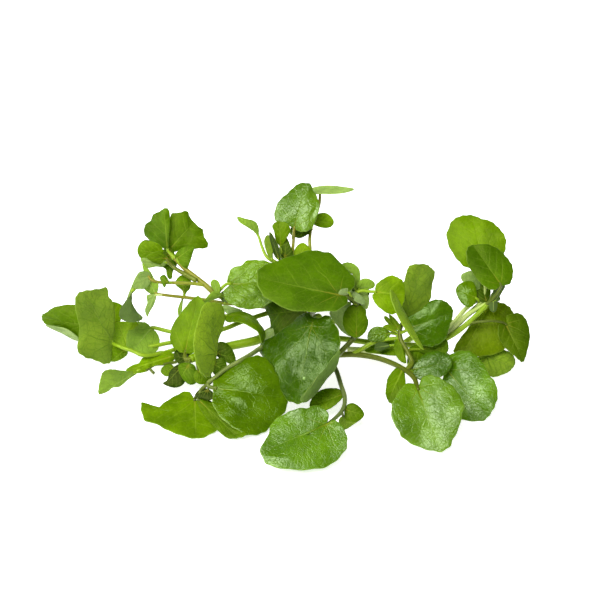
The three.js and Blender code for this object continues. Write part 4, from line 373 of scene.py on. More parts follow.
topLeftStalks = [
    stalk(1.4, 0.7, [[6, 30, 11], [-5, 32, 15.5], [-15, 33.5, 19], [-24, 36.3, 22.5], [-28, 39.6, 25],
        [-31, 42, 26.5], [-35, 45.2, 28.3], [-38, 48.3, 29.8]], "crownRight", look="brown"),
    stalk(0.6, 0.55, [[-38, 48.6, 30], [-40, 50.4, 30.8]], "crownLeft"),
    stalk(0.9, 0.5, [[-31, 41, 26.3], [-35, 43.3, 27.6], [-39, 45.8, 28.6], [-41.5, 48.4, 30.6]],
        "crownSmall", look="olive"),
    stalk(0.55, 0.5, [[-40.6, 47.6, 29.6], [-41.2, 48.6, 30.6]], "crownBud", look="brown"),
    stalk(0.5, 0.45, [[-40.4, 47, 29.2], [-41.4, 47.4, 29.8]], "crownPale"),
    stalk(0.5, 0.45, [[-39, 48.5, 30], [-39.8, 50, 30.4]], "crownDark"),
    stalk(0.5, 0.45, [[-36.6, 46.6, 29.2], [-37.6, 48, 30.2]], "brightSide"),
    stalk(0.65, 0.5, [[-28.5, 39.6, 25.2], [-32, 40, 25.8], [-38, 40.3, 26.5], [-44, 40.5, 27.2],
        [-46.8, 41.4, 28]], "paleTwistUpper", look="brown"),
    stalk(0.5, 0.4, [[-52.8, 38.2, 26.2], [-53.7, 37.4, 25.2]], "darkTwistLower"),
    stalk(0.75, 0.5, [[-13, 32.9, 18], [-21.5, 33.2, 19.6], [-28, 34.3, 20.6], [-35, 35.2, 21.8],
        [-42, 36, 23.4]], "paleHanging", look="brown"),
    stalk(0.45, 0.4, [[-43, 36.1, 23.6], [-45, 36.1, 23.8]], "paleTail", look="cream"),
    stalk(0.45, 0.4, [[-34, 35.1, 21.6], [-35, 35.5, 21.6]], "hangingOval"),
    stalk(0.45, 0.4, [[-34.8, 35.2, 21.8], [-35.6, 35, 21]], "thinHanging"),
    stalk(0.45, 0.4, [[-39.5, 40.4, 26.8], [-40.8, 40.4, 27]], "nubLeaf"),
    stalk(0.65, 0.55, [[-24, 36.4, 23], [-22, 38.6, 26.4], [-20.6, 39.8, 28]], "blistered"),
    stalk(0.5, 0.45, [[-24.4, 36.2, 22.7]], "smallUpright"),
    stalk(0.5, 0.45, [[-21.6, 35.3, 21.6]], "smallBright"),
    stalk(0.5, 0.45, [[-21, 33, 19.7]], "smallGrey"),
    stalk(0.5, 0.45, [[-23.4, 33.6, 20], [-22.9, 32.2, 19.4]], "greyUnder"),
    stalk(0.55, 0.5, [[-24, 33.8, 20], [-24.2, 30.5, 18.6], [-23, 29.2, 18.6]], "archedLeaf"),
]

# Middle left sprig
middleLeftLeaves = [
    leaf("brightUpper", upper, "bright", [-35, 16, 10], [-30.2, 35.6, 24.5], [-40, 22, 12.5],
        [1, 0.8, 0, 0.4],
        [[-34.5, 15.4], [-37, 16.2], [-39.6, 18.8], [-40.2, 21.5], [-39, 26], [-35.5, 31], [-32.6, 34.4],
        [-30.5, 35.7], [-28.6, 34.2], [-27.5, 31], [-29, 25], [-30.5, 19], [-31.5, 16]]),
    leaf("tallTurned", under, "underLit", [-24.2, 15.5, 13.5], [-28, 31, 26.5], [-31.6, 18, 20.5],
        [1.2, 0.3, 0, 0.3],
        [[-24, 15], [-25.2, 9.5], [-26.8, 7.2], [-29.4, 8.6], [-31.2, 12.3], [-31.9, 17], [-31.6, 22.5],
        [-30.3, 27.8], [-28.2, 33], [-25, 33.4], [-22.1, 32.5], [-21.1, 28.5], [-21.8, 23.5], [-23, 20.5]]),
    leaf("darkBehind", upper, "shade", [-24, 15.6, 10], [-17.6, 14, 9], [-21, 19.4, 12.5],
        [0.6, 0.4, 0, 0.2],
        [[-24.5, 15.5], [-23.3, 19.4], [-20.8, 19.2], [-18.6, 17.2], [-17.4, 14.5], [-17.2, 12],
        [-18.8, 11.8], [-21.5, 13]]),
    leaf("darkFront", upper, "shade", [-25, 12, 10.5], [-20.8, 9.6, 8.8], [-23.5, 13.6, 12],
        [0.5, 0, 0, 0.2],
        [[-25.6, 12], [-24, 13.7], [-21.5, 13.9], [-20.3, 11.4], [-20.6, 9.5], [-22.6, 8], [-25, 8.5]]),
    leaf("budLeft", upper, "deep", [-34, 11, 8], [-36.6, 7, 5], [-32, 8, 6], [0.7, 0.4, 0, 0.2],
        [[-34, 12.3], [-37, 11.8], [-37.2, 9.5], [-35.6, 6.4], [-33, 4.6], [-30.8, 6], [-31.4, 11]]),
    leaf("budRight", upper, "mid", [-30.4, 9.6, 8], [-27.4, 5.6, 5], [-31.2, 6.5, 5.8], [0.5, 0.3, 0, 0],
        [[-30.4, 10.4], [-32, 7.8], [-30.8, 5.2], [-28, 4.8], [-25.6, 6], [-26.2, 8.8], [-28.2, 10]]),
    # shadeLeft is a dark leaf put in the deep shade behind the sprig, coloured as painted shade
    leaf("shadeLeft", upper, "paintedDeepShade", [-33, 13.6, 7.6], [-38.6, 14.4, 7.6], [-35.4, 17.4, 9],
        [0.4, 0.2, 0, 0],
        [[-33, 12.2], [-36, 11.6], [-38.4, 13], [-38.8, 15.8], [-36.4, 17.6], [-33.4, 16.8]]),
    leaf("darkLow", upper, "paintedDeepShade", [-36.5, 10.6, 6.5], [-41.6, 5, 2.5], [-36.5, 4, 2.3], [0.7, 0.4, 0, 0.3],
        [[-36, 11.8], [-38.2, 11.4], [-40.2, 9.4], [-41.2, 6.4], [-42.7, 5], [-40.3, 3.9], [-37.6, 3.7],
        [-35.4, 5], [-34.5, 8]]),
    leaf("lightLow", upper, "mid", [-39, 10.4, 4.3], [-43.2, 8.8, 3.2], [-41.2, 11.8, 5], [0.3, 0.2, 0, 0],
        [[-38.6, 10], [-39.8, 11.7], [-42.4, 11.2], [-43.5, 9.2], [-41.8, 7.6], [-39.6, 8.2]]),
]
middleLeftStalks = [
    stalk(1.75, 1.5, [[12, 28, 6.5], [4, 26, 9], [-5, 23.1, 11], [-9, 20.5, 10.6], [-19, 18.2, 9.8],
        [-27, 16, 9.4], [-33, 13.6, 9]], look="thick"),
    stalk(1.2, 0.6, [[-31, 14.3, 9.2], [-34.4, 13.4, 8.8]], "brightUpper", look="olive"),
    stalk(0.8, 0.5, [[-25.5, 16.4, 9.6], [-24.4, 15.4, 11.6]], "tallTurned"),
    stalk(0.6, 0.5, [[-27, 16, 9.4]], "darkBehind", look="dark"),
    stalk(0.6, 0.5, [[-28, 15.3, 9.4], [-26.4, 13, 10]], "darkFront", look="dark"),
    stalk(0.7, 0.5, [[-33, 13.6, 9]], "budLeft", look="dark"),
    stalk(0.6, 0.5, [[-31, 13.8, 9], [-30.6, 11.4, 8.6]], "budRight", look="dark"),
    stalk(0.6, 0.5, [[-33, 13.4, 9], [-35, 12, 7.6]], "darkLow", look="dark"),
    stalk(0.5, 0.45, [[-36, 11.4, 7.2], [-37.6, 11, 5]], "lightLow"),
    stalk(0.5, 0.45, [[-31.4, 14, 9]], "shadeLeft"),
]

# Front left sprig
frontLeftLeaves = [
    leaf("bigShiny", upper, "glossy", [-25, 3.5, 10], [-0.3, 0, 11.5], [-10, 14.8, 17], [2, 0.9, 0, 0.5],
        [[-25.2, 3.5], [-25.2, 6.2], [-22.2, 9], [-18, 11.5], [-13.5, 14], [-10, 14.9], [-7, 14],
        [-4.6, 11.5], [-2.5, 7.5], [-0.9, 3], [0.7, -0.8], [0.1, -4.6], [-3, -7.9], [-6.5, -11.5],
        [-9.6, -12.9], [-13.6, -12.9], [-18, -10.4], [-22.2, -7.2], [-25.2, -2.5]],
        folds=[[[-17, 12.6], [-24, 5.4], -0.35, 0.5], [[-20, -9], [5, -9], -0.08, 2], [[-4, -9], [-22, 0],
        0.4, 0.8]],
        ridges=[[[-23, 3], [-13.5, -1], 0.4, 1.8]]),
    leaf("flatOnTable", upper, "bright", [-31.6, -0.6, 2.6], [-31.2, -14, 0.3], [-45, -7, 0.8],
        [0.3, 0.3, 0, 0.2],
        [[-31.6, -0.6], [-32.8, 1.8], [-35, 2.4], [-38, 1], [-42, -1.5], [-45.2, -3.9], [-48, -2.8],
        [-50.2, -1.6], [-50.3, -4.5], [-49, -7.8], [-45.5, -9], [-41.5, -11.2], [-37, -13], [-31.5, -14.3],
        [-27, -13.3], [-23.3, -10.3], [-25, -5.5], [-29, -1]]),
    leaf("underShiny", upper, "mid", [-30.5, -0.5, 4.4], [-17, -13.5, 1.6], [-24, -3, 4.4],
        [0.4, 0.3, 0, 0.2],
        [[-30.9, -0.3], [-28.5, 0.3], [-24, -2.5], [-18, -8.3], [-13.4, -12.4], [-16.2, -14],
        [-19.8, -14.1], [-22.2, -12.6], [-24.6, -10.4], [-26.6, -8], [-29.7, -3.8]]),
    leaf("smallFoot", upper, "paintedDeepShade", [-27, 2.6, 7.4], [-31.2, 1.2, 5.2], [-28, 3.4, 7.4], [0.4, 0.2, 0, 0],
        [[-25.6, 2.4], [-28, 3.4], [-30.5, 2.3], [-31.4, 0.6], [-29, -0.3], [-26.2, -0.8], [-25, 0.6]]),
]
frontLeftStalks = [
    stalk(1, 0.65, [[6, 22.9, 11], [0, 21.5, 11], [-5, 19.4, 11.4], [-9, 17.2, 12.6], [-12, 15.2, 14],
        [-16, 12.9, 14.6], [-20, 10.6, 13], [-24, 7.6, 11.2], [-27.2, 4.8, 9]], "bigShiny", look="grey"),
    stalk(0.7, 0.55, [[-22, 9.1, 12.1], [-26, 5.6, 9.2], [-28.6, 3.6, 7.6], [-30.6, 1.4, 4.8]],
        "flatOnTable", look="dark"),
    stalk(0.5, 0.45, [[-29, 3.2, 7], [-30, 1.4, 5.6]], "underShiny", look="dark"),
    stalk(0.45, 0.4, [[-26.6, 4.8, 8.6]], "smallFoot", look="dark"),
]

# Front middle sprig
frontMiddleLeaves = [
    leaf("glossyCentre", upper, "glossyDeep", [9.5, 25, 26], [4, -1.5, 9], [-8, 14, 12], [2, 0.9, 0.5, 0.6],
        [[10.2, 28.2], [8, 29.5], [4.8, 28.4], [0, 25], [-5, 21], [-8.9, 18], [-8.4, 14.8], [-6.8, 12.1],
        [-4.4, 9], [-2.6, 4.6], [0.3, -0.4], [3.4, -1.9], [6.5, -1.7], [10.3, 1.2], [14.5, 6.5],
        [17.7, 10.4], [19.2, 14.6], [19.5, 19], [18.8, 23.2], [16.6, 27.3], [14.8, 29], [12.4, 28.2]],
        folds=[[[-3.5, 10.2], [7, 23.4], -0.38, 0.4], [[8.3, 22], [6.1, 15.5], -0.2, 0.4], [[13.4, 27],
        [13.4, 9], 0.1, 0.8]],
        ridges=[[[11.8, 24.5], [10.6, 14.4], 0.35, 0.6]]),
    leaf("rolledEdge", under, "rolled", [17.6, 16, 25.6], [6, 0, 11.6], [13, 9.6, 20], [0.5, 0, 0, 0.2],
        [[19.2, 16.5], [16.8, 14.4], [13.4, 9.8], [9.8, 6], [7.4, 2.6], [5.4, -0.4], [7, -1.5], [10.6, 1.4],
        [14.6, 6.5], [17.8, 10.4]]),
    leaf("frontTable", upper, "satin", [14.5, -9.4, 8.5], [-8.2, -19, 5], [9.6, -25, 0.7],
        [1.6, 0.8, 0, 0.5],
        [[14.6, -9.2], [15.4, -6.4], [13.8, -3.7], [10.8, -2.5], [8, -3.6], [4.4, -3.7], [0.8, -5],
        [-2.8, -7], [-5.1, -9.8], [-6.1, -13.5], [-8.7, -17.7], [-7.5, -21.8], [-4.6, -24], [2, -25],
        [9.6, -25], [15.2, -23.9], [19.2, -20.8], [21.6, -17.3], [21.7, -13.6], [20.3, -10], [17.4, -7.8]],
        folds=[[[14.4, -9.4], [15.8, -20], 0.3, 0.5], [[4, -7], [14.4, -10], 0.3, 0.5], [[14, -14.5],
        [-8, -14.5], 0.22, 1.5]],
        ridges=[[[-8, -20.4], [2, -21.4], 0.3, 0.8]]),
    leaf("darkOval", upper, "mid", [20.9, 1.4, 8.4], [8.6, -3, 4.5], [15, 3.3, 8.4], [0.8, 0.5, 0, 0.2],
        [[20.9, 1.4], [18.6, 3.2], [14.8, 3.4], [11.6, 2.2], [9.4, -0.2], [8.6, -2.8], [10.4, -4.6],
        [14.8, -4.2], [18.4, -1.8]]),
    leaf("roundSmall", upper, "mid", [21, -4, 6.5], [27.4, -6, 5.4], [24, -1.9, 8], [0.6, 0.2, 0, 0.2],
        [[20.8, -4.6], [21.6, -2.6], [23.6, -1.8], [25.5, -2.6], [27.2, -4.4], [27.7, -6], [26, -7.9],
        [23, -8.6], [21.2, -7.6]]),
    leaf("roundSmallUnder", under, "underNet", [20.4, -6.6, 4.6], [21.6, -10.6, 2], [25, -8.2, 3.8],
        [0.3, 0, 0, 0],
        [[19.6, -6.6], [23, -6.8], [26, -7.6], [24, -9.3], [20.7, -11.1], [18.8, -8.8]]),
    leaf("shadedLeaf", upper, "shade", [7, 31, 23.5], [-6.5, 29, 17.5], [-3, 22.3, 14], [0.8, 0.5, 0, 0.4],
        [[7, 31], [3, 34.5], [-3, 35.2], [-7.7, 34.6], [-6.9, 31], [-5.2, 27], [-4.6, 22.3], [-1, 22],
        [4, 25.8]]),
    leaf("paleCorner", under, "pale", [-4.4, 23, 14.5], [-8, 19.2, 12.6], [-6.6, 23.4, 15], [0, 0, 0, 0],
        [[-3.6, 24.2], [-3.7, 21.2], [-6.2, 19.8], [-8.2, 18.8], [-6.7, 21.2], [-6.6, 23.6]]),
]
frontMiddleStalks = [
    stalk(1.2, 0.9, [[13.4, 31.4, 2.5], [12.4, 32, 8], [9, 29.4, 14], [9.4, 26.5, 18.4], [11.6, 21, 18.2],
        [14.6, 15, 15.6]], look="dark"),
    stalk(0.9, 0.65, [[12.4, 19.4, 17.6], [15.4, 13.8, 14.8], [17.8, 10, 12.6], [19.6, 4.6, 10.2],
        [20.9, 0.6, 8.8], [20.8, -2.4, 7.9], [19.5, -5.1, 7.6], [17.2, -7.4, 7.8]], "frontTable",
        look="slate"),
    stalk(0.7, 0.6, [[9, 27.2, 17.6], [8, 28, 21], [8.8, 26.6, 24.6]], "glossyCentre", look="dark"),
    stalk(0.55, 0.5, [[20.6, 1.8, 9]], "darkOval"),
    stalk(0.5, 0.45, [[20.7, -2.6, 7.8]], "roundSmall", look="slate"),
    stalk(0.5, 0.45, [[19.8, -4.9, 7.4], [20.2, -5.8, 5.6]], "roundSmallUnder", look="slate"),
    stalk(0.6, 0.5, [[8.6, 28.6, 16.4], [8.4, 30.6, 20.6]], "shadedLeaf", look="dark"),
]

# Top sprig
topLeaves = [
    leaf("topShiny", upper, "silver", [3.2, 59.3, 43.5], [7.2, 75, 55.5], [12, 66, 49.5],
        [1.6, 0.8, 0.4, 0.5],
        [[3.2, 59.4], [0.5, 60.6], [-3.2, 62], [-3.6, 65], [-2, 69], [0.6, 71.6], [3.2, 74], [5.6, 75.2],
        [8.8, 75], [9.7, 73], [11.5, 70], [12, 66.5], [11, 62.8], [9.6, 59.6], [7.2, 58.2], [5, 58.3]],
        folds=[[[-4, 57], [14, 57], -0.12, 1]],
        ridges=[[[9.6, 64], [11.4, 67], -0.5, 0.8]]),
    curled("edgeOnTop", under, "underPale", [[5, 71.6, 46.5], [11, 72, 48], [18, 72.4, 49.5],
        [24.2, 72.9, 50.5]], 4.4, [70, 66], 0.8),
    leaf("roundBehind", upper, "fresh", [10, 61.6, 42], [17.2, 61.6, 43], [13.5, 64.9, 45.5],
        [0.6, 0.3, 0, 0.2],
        [[9.4, 61.4], [11, 64.2], [13.6, 64.9], [15.7, 64], [17.1, 62], [16.7, 60.4], [15.2, 59.6],
        [12, 59.8]]),
    leaf("paleLeft", under, "underSoft", [-9.4, 56.9, 39.5], [-16.4, 62.9, 44], [-10, 61.6, 43],
        [0.5, 0.6, 0, 0.1],
        [[-9.2, 56.6], [-9.3, 60], [-10.8, 61.9], [-14, 62.8], [-16.7, 63.4], [-16, 61.6], [-13, 59.6],
        [-10.6, 58.2]]),
    leaf("brightMiddle", upper, "bright", [-1.5, 53.2, 39.5], [-2, 61.8, 47.5], [1.7, 58.5, 45],
        [0.8, 0.5, 0, 0.3],
        [[-1.5, 53], [-3.3, 55.5], [-3.9, 58.2], [-4.6, 60.4], [-2.6, 61.9], [0.4, 61.3], [1.9, 59],
        [0.8, 56.2]]),
    leaf("smallBehindEdge", upper, "fresh", [4.6, 48.6, 35.6], [7.5, 53.8, 39], [3.8, 52.4, 38],
        [0.4, 0, 0, 0.1],
        [[4, 48], [3, 50.5], [4.2, 53.2], [6.2, 54.3], [8, 53.2], [9.4, 51], [8, 48.4]]),
    leaf("darkUnderTop", upper, "shade", [5, 59.8, 41.5], [6, 56, 38.5], [9, 58.6, 40.5], [0.4, 0, 0, 0],
        [[3, 60.4], [1.7, 57.8], [3.3, 56.4], [5.7, 56], [8.8, 58], [9.2, 60.6]]),
    leaf("budPale", upper, "underNet", [-4.6, 48.6, 35.5], [-6.4, 56.9, 41.5], [-4.5, 53, 39],
        [0.4, 0.2, 0, 0],
        [[-4.5, 47.8], [-6.3, 50.6], [-7.2, 54.8], [-6.2, 57], [-4.7, 56], [-4.2, 51.5]]),
    leaf("budDark", upper, "paintedDeepShade", [-2, 48.6, 36.4], [-5, 57.8, 43.5], [-1.8, 51.5, 39.5], [0.4, 0.2, 0, 0],
        [[-1.6, 48.2], [-3.6, 49.6], [-4.7, 53.5], [-5.4, 58], [-4, 56.6], [-2, 52.4]]),
    leaf("budRight", upper, "shade", [0, 49.4, 36.4], [0.6, 55.8, 41.5], [2.4, 51.6, 38.4],
        [0.4, 0.2, 0, 0],
        [[-0.4, 48.8], [-1.7, 51.8], [-0.8, 54.6], [0.7, 55.9], [1.9, 53.2], [2.9, 50.2], [2, 48.8]]),
]
topStalks = [
    stalk(1.2, 0.8, [[7.5, 27, 4.5], [6.5, 31, 10], [5, 35, 16], [2.5, 40, 23], [0.5, 45, 30],
        [-0.6, 49, 35]], look="brown"),
    stalk(0.7, 0.5, [[1, 44, 28.6], [2, 47.4, 33.4], [2.6, 51, 36.6], [3, 55.4, 40.2]], "topShiny",
        look="brown"),
    stalk(0.7, 0.5, [[1, 44, 28.6], [5.4, 47, 31.6], [8.6, 51, 35.4], [8.6, 55, 38.4], [9.1, 59.4, 40.6],
        [10.8, 64, 43.4], [12, 68, 45.8], [12.2, 70.4, 47.2], [12.2, 72, 48.2]], look="brown"),
    stalk(0.5, 0.45, [[9.3, 58.8, 40.3], [9.3, 60.4, 41]], "roundBehind", look="brown"),
    stalk(0.65, 0.5, [[-0.2, 46, 31.4], [-3.5, 47.4, 33.2], [-6.4, 49.4, 34.6], [-8.1, 53, 36.8]],
        "paleLeft"),
    stalk(0.6, 0.5, [[-0.8, 48.6, 34.6], [-1.2, 50.8, 37.4]], "brightMiddle"),
    stalk(0.5, 0.45, [[3.2, 45.5, 30.1]], "smallBehindEdge"),
    stalk(0.5, 0.45, [[2.7, 55.8, 40.4], [3.2, 58.6, 41.4]], "darkUnderTop"),
    stalk(0.6, 0.5, [[-1.8, 46.8, 32.6]], "budPale"),
    stalk(0.6, 0.5, [[-0.8, 47, 33]], "budDark"),
    stalk(0.6, 0.5, [[-0.4, 47.4, 33.6]], "budRight"),
]

# Middle sprig, with the broad dark leaf and the two leaves to its right
middleLeaves = [
    leaf("broadDark", upper, "deep", [18.8, 36, 35.5], [-9.8, 42, 37], [8, 30.2, 33], [2, 0.9, 0.5, 0.4],
        [[18.8, 36], [22.6, 37.5], [24.1, 38.8], [24.6, 41], [23.4, 43.6], [20, 46.8], [16, 50.6],
        [12.8, 51.3], [9.3, 51.7], [5, 50.6], [-1, 48.6], [-6, 46.8], [-9, 45.1], [-9.9, 42.4],
        [-8.9, 37.8], [-6.8, 35.2], [-2.4, 32.7], [1.4, 30.7], [7, 30.2], [13, 30.2], [18, 30.6],
        [21.3, 32.6], [22, 34.6], [20.4, 35.4]]),
    leaf("curvedBehind", upper, "underSoft", [24.7, 38.2, 33], [20, 46.8, 36], [26, 44, 36.5],
        [0.4, 0, 0, 0.1],
        [[24, 37.8], [24.6, 41.6], [22.8, 44.2], [19.4, 46.2], [21.4, 47.5], [24, 47], [26, 45], [26.3, 42],
        [25.6, 38.6]]),
    leaf("paleSide", upper, "underSoft", [26, 38.4, 33.5], [31.4, 39.9, 34.8], [28, 41.8, 36.5],
        [0.5, 0.2, 0, 0.1],
        [[25.4, 38.6], [25.4, 40.4], [27.2, 41.7], [29.4, 41.7], [31.3, 40.4], [31.2, 38.8], [28.8, 38]]),
    leaf("brightTwin", upper, "fresh", [31.4, 37.2, 34.5], [42, 36, 33.5], [36.6, 29.4, 28.8],
        [1, -0.7, 0, 0.4],
        [[31.4, 37.2], [31.7, 39.5], [34, 41.5], [37, 42.8], [39.6, 42.1], [41.5, 40.6], [42, 37],
        [41.4, 33], [39.4, 30], [36.6, 29.3], [33, 31.6], [31, 34], [30.5, 36]]),
    curled("hangingStrip", under, "underLit", [[37.9, 37.6, 34.8], [39.6, 33, 34], [42, 27.6, 29.8],
        [45, 22.3, 25.6], [48.4, 16.9, 21]], 3.6, [66, 66], -0.5),
    leaf("greyFolded", under, "pale", [23.6, 22, 15.5], [16.8, 30, 19.5], [22.6, 33, 25],
        [0.5, 0.4, 0, 0.2],
        [[23.8, 21.7], [20.6, 22.8], [18.4, 25.2], [15.6, 29.6], [17.6, 31.4], [20.6, 33], [23, 33.4],
        [23.4, 28]]),
    leaf("darkRound", upper, "mid", [24.9, 22, 19], [25, 33, 28], [28.9, 26.6, 22.5], [1, 0.4, 0, 0.3],
        [[24.8, 21.1], [21.8, 22.7], [20.2, 26.2], [20.8, 30], [23, 32.4], [26, 32.9], [28.2, 31],
        [28.5, 28.8], [29.2, 26.6], [28.6, 24], [27.2, 22.2]]),
    leaf("brightBit", upper, "underPale", [25.4, 36.4, 31.5], [28.8, 31.6, 27.5], [28.8, 36.4, 31.5],
        [0.4, 0, 0, 0.1],
        [[25, 36.6], [26.8, 37.8], [28.8, 36.8], [29.5, 34], [28.8, 31.2], [27.3, 31.8], [26.4, 33.8]]),
    leaf("greyBit", under, "pale", [22.4, 36.4, 33.4], [27.8, 33, 30.2], [25.4, 36.6, 33.2],
        [0.3, 0.2, 0, 0],
        [[21.4, 36.3], [23, 37.4], [25.6, 36.6], [27.6, 34.6], [27.8, 32.6], [25.4, 33.4], [23, 35]]),
    leaf("shadeFoot", upper, "shade", [25.6, 34.6, 29], [20.6, 38.6, 32], [28.4, 39, 32],
        [0.4, 0.2, 0, 0.1],
        [[26, 32.4], [22.4, 34], [20.6, 37.6], [23.6, 40.4], [28.2, 40], [29.4, 36]]),
    leaf("greyNearFoot", upper, "pale", [22, 37, 35.4], [19.4, 37.4, 36.6], [22, 38.4, 36.4],
        [0.2, 0, 0, 0],
        [[22.8, 36.7], [20.4, 35.9], [18.8, 36.4], [19.4, 37.9], [21.6, 38.4], [23.4, 38.2]]),
]
middleStalks = [
    stalk(1.1, 0.65, [[6, 3.5, 5], [10, 6.6, 8.5], [15, 11.6, 11.4], [19.7, 16.4, 13.6], [22.6, 19.4, 15.4],
        [24.6, 21.9, 17.2], [26.2, 27, 20.6], [25.6, 31.8, 26.4], [23, 35, 32.6], [20.8, 36, 34.8]],
        "broadDark", look="dark"),
    stalk(0.5, 0.45, [[24.8, 32.8, 28.6], [24.8, 36, 31.6]], "curvedBehind"),
    stalk(0.5, 0.45, [[24.8, 32.8, 28.6], [25.4, 36.4, 32.4]], "paleSide"),
    stalk(0.65, 0.5, [[24.6, 33, 28.8], [24.4, 36.6, 32.8], [27, 37.6, 34], [29.4, 37.3, 34.4]],
        "brightTwin"),
    stalk(0.45, 0.4, [[35.4, 37, 34.4], [37, 37.6, 34.9]], "hangingStrip"),
    stalk(0.5, 0.45, [[22.8, 19.6, 15.2]], "greyFolded"),
    stalk(0.55, 0.45, [[23.6, 20.6, 16.2]], "darkRound", look="slate"),
    stalk(0.5, 0.45, [[24.2, 34, 30.6], [24.6, 35.8, 31.4]], "brightBit"),
    stalk(0.5, 0.45, [[22.6, 35.3, 33]], "greyBit"),
    stalk(0.5, 0.45, [[25.3, 32.6, 27.6]], "shadeFoot"),
    stalk(0.5, 0.45, [[23, 35.2, 32.8], [22.8, 36.4, 34.6]], "greyNearFoot"),
]

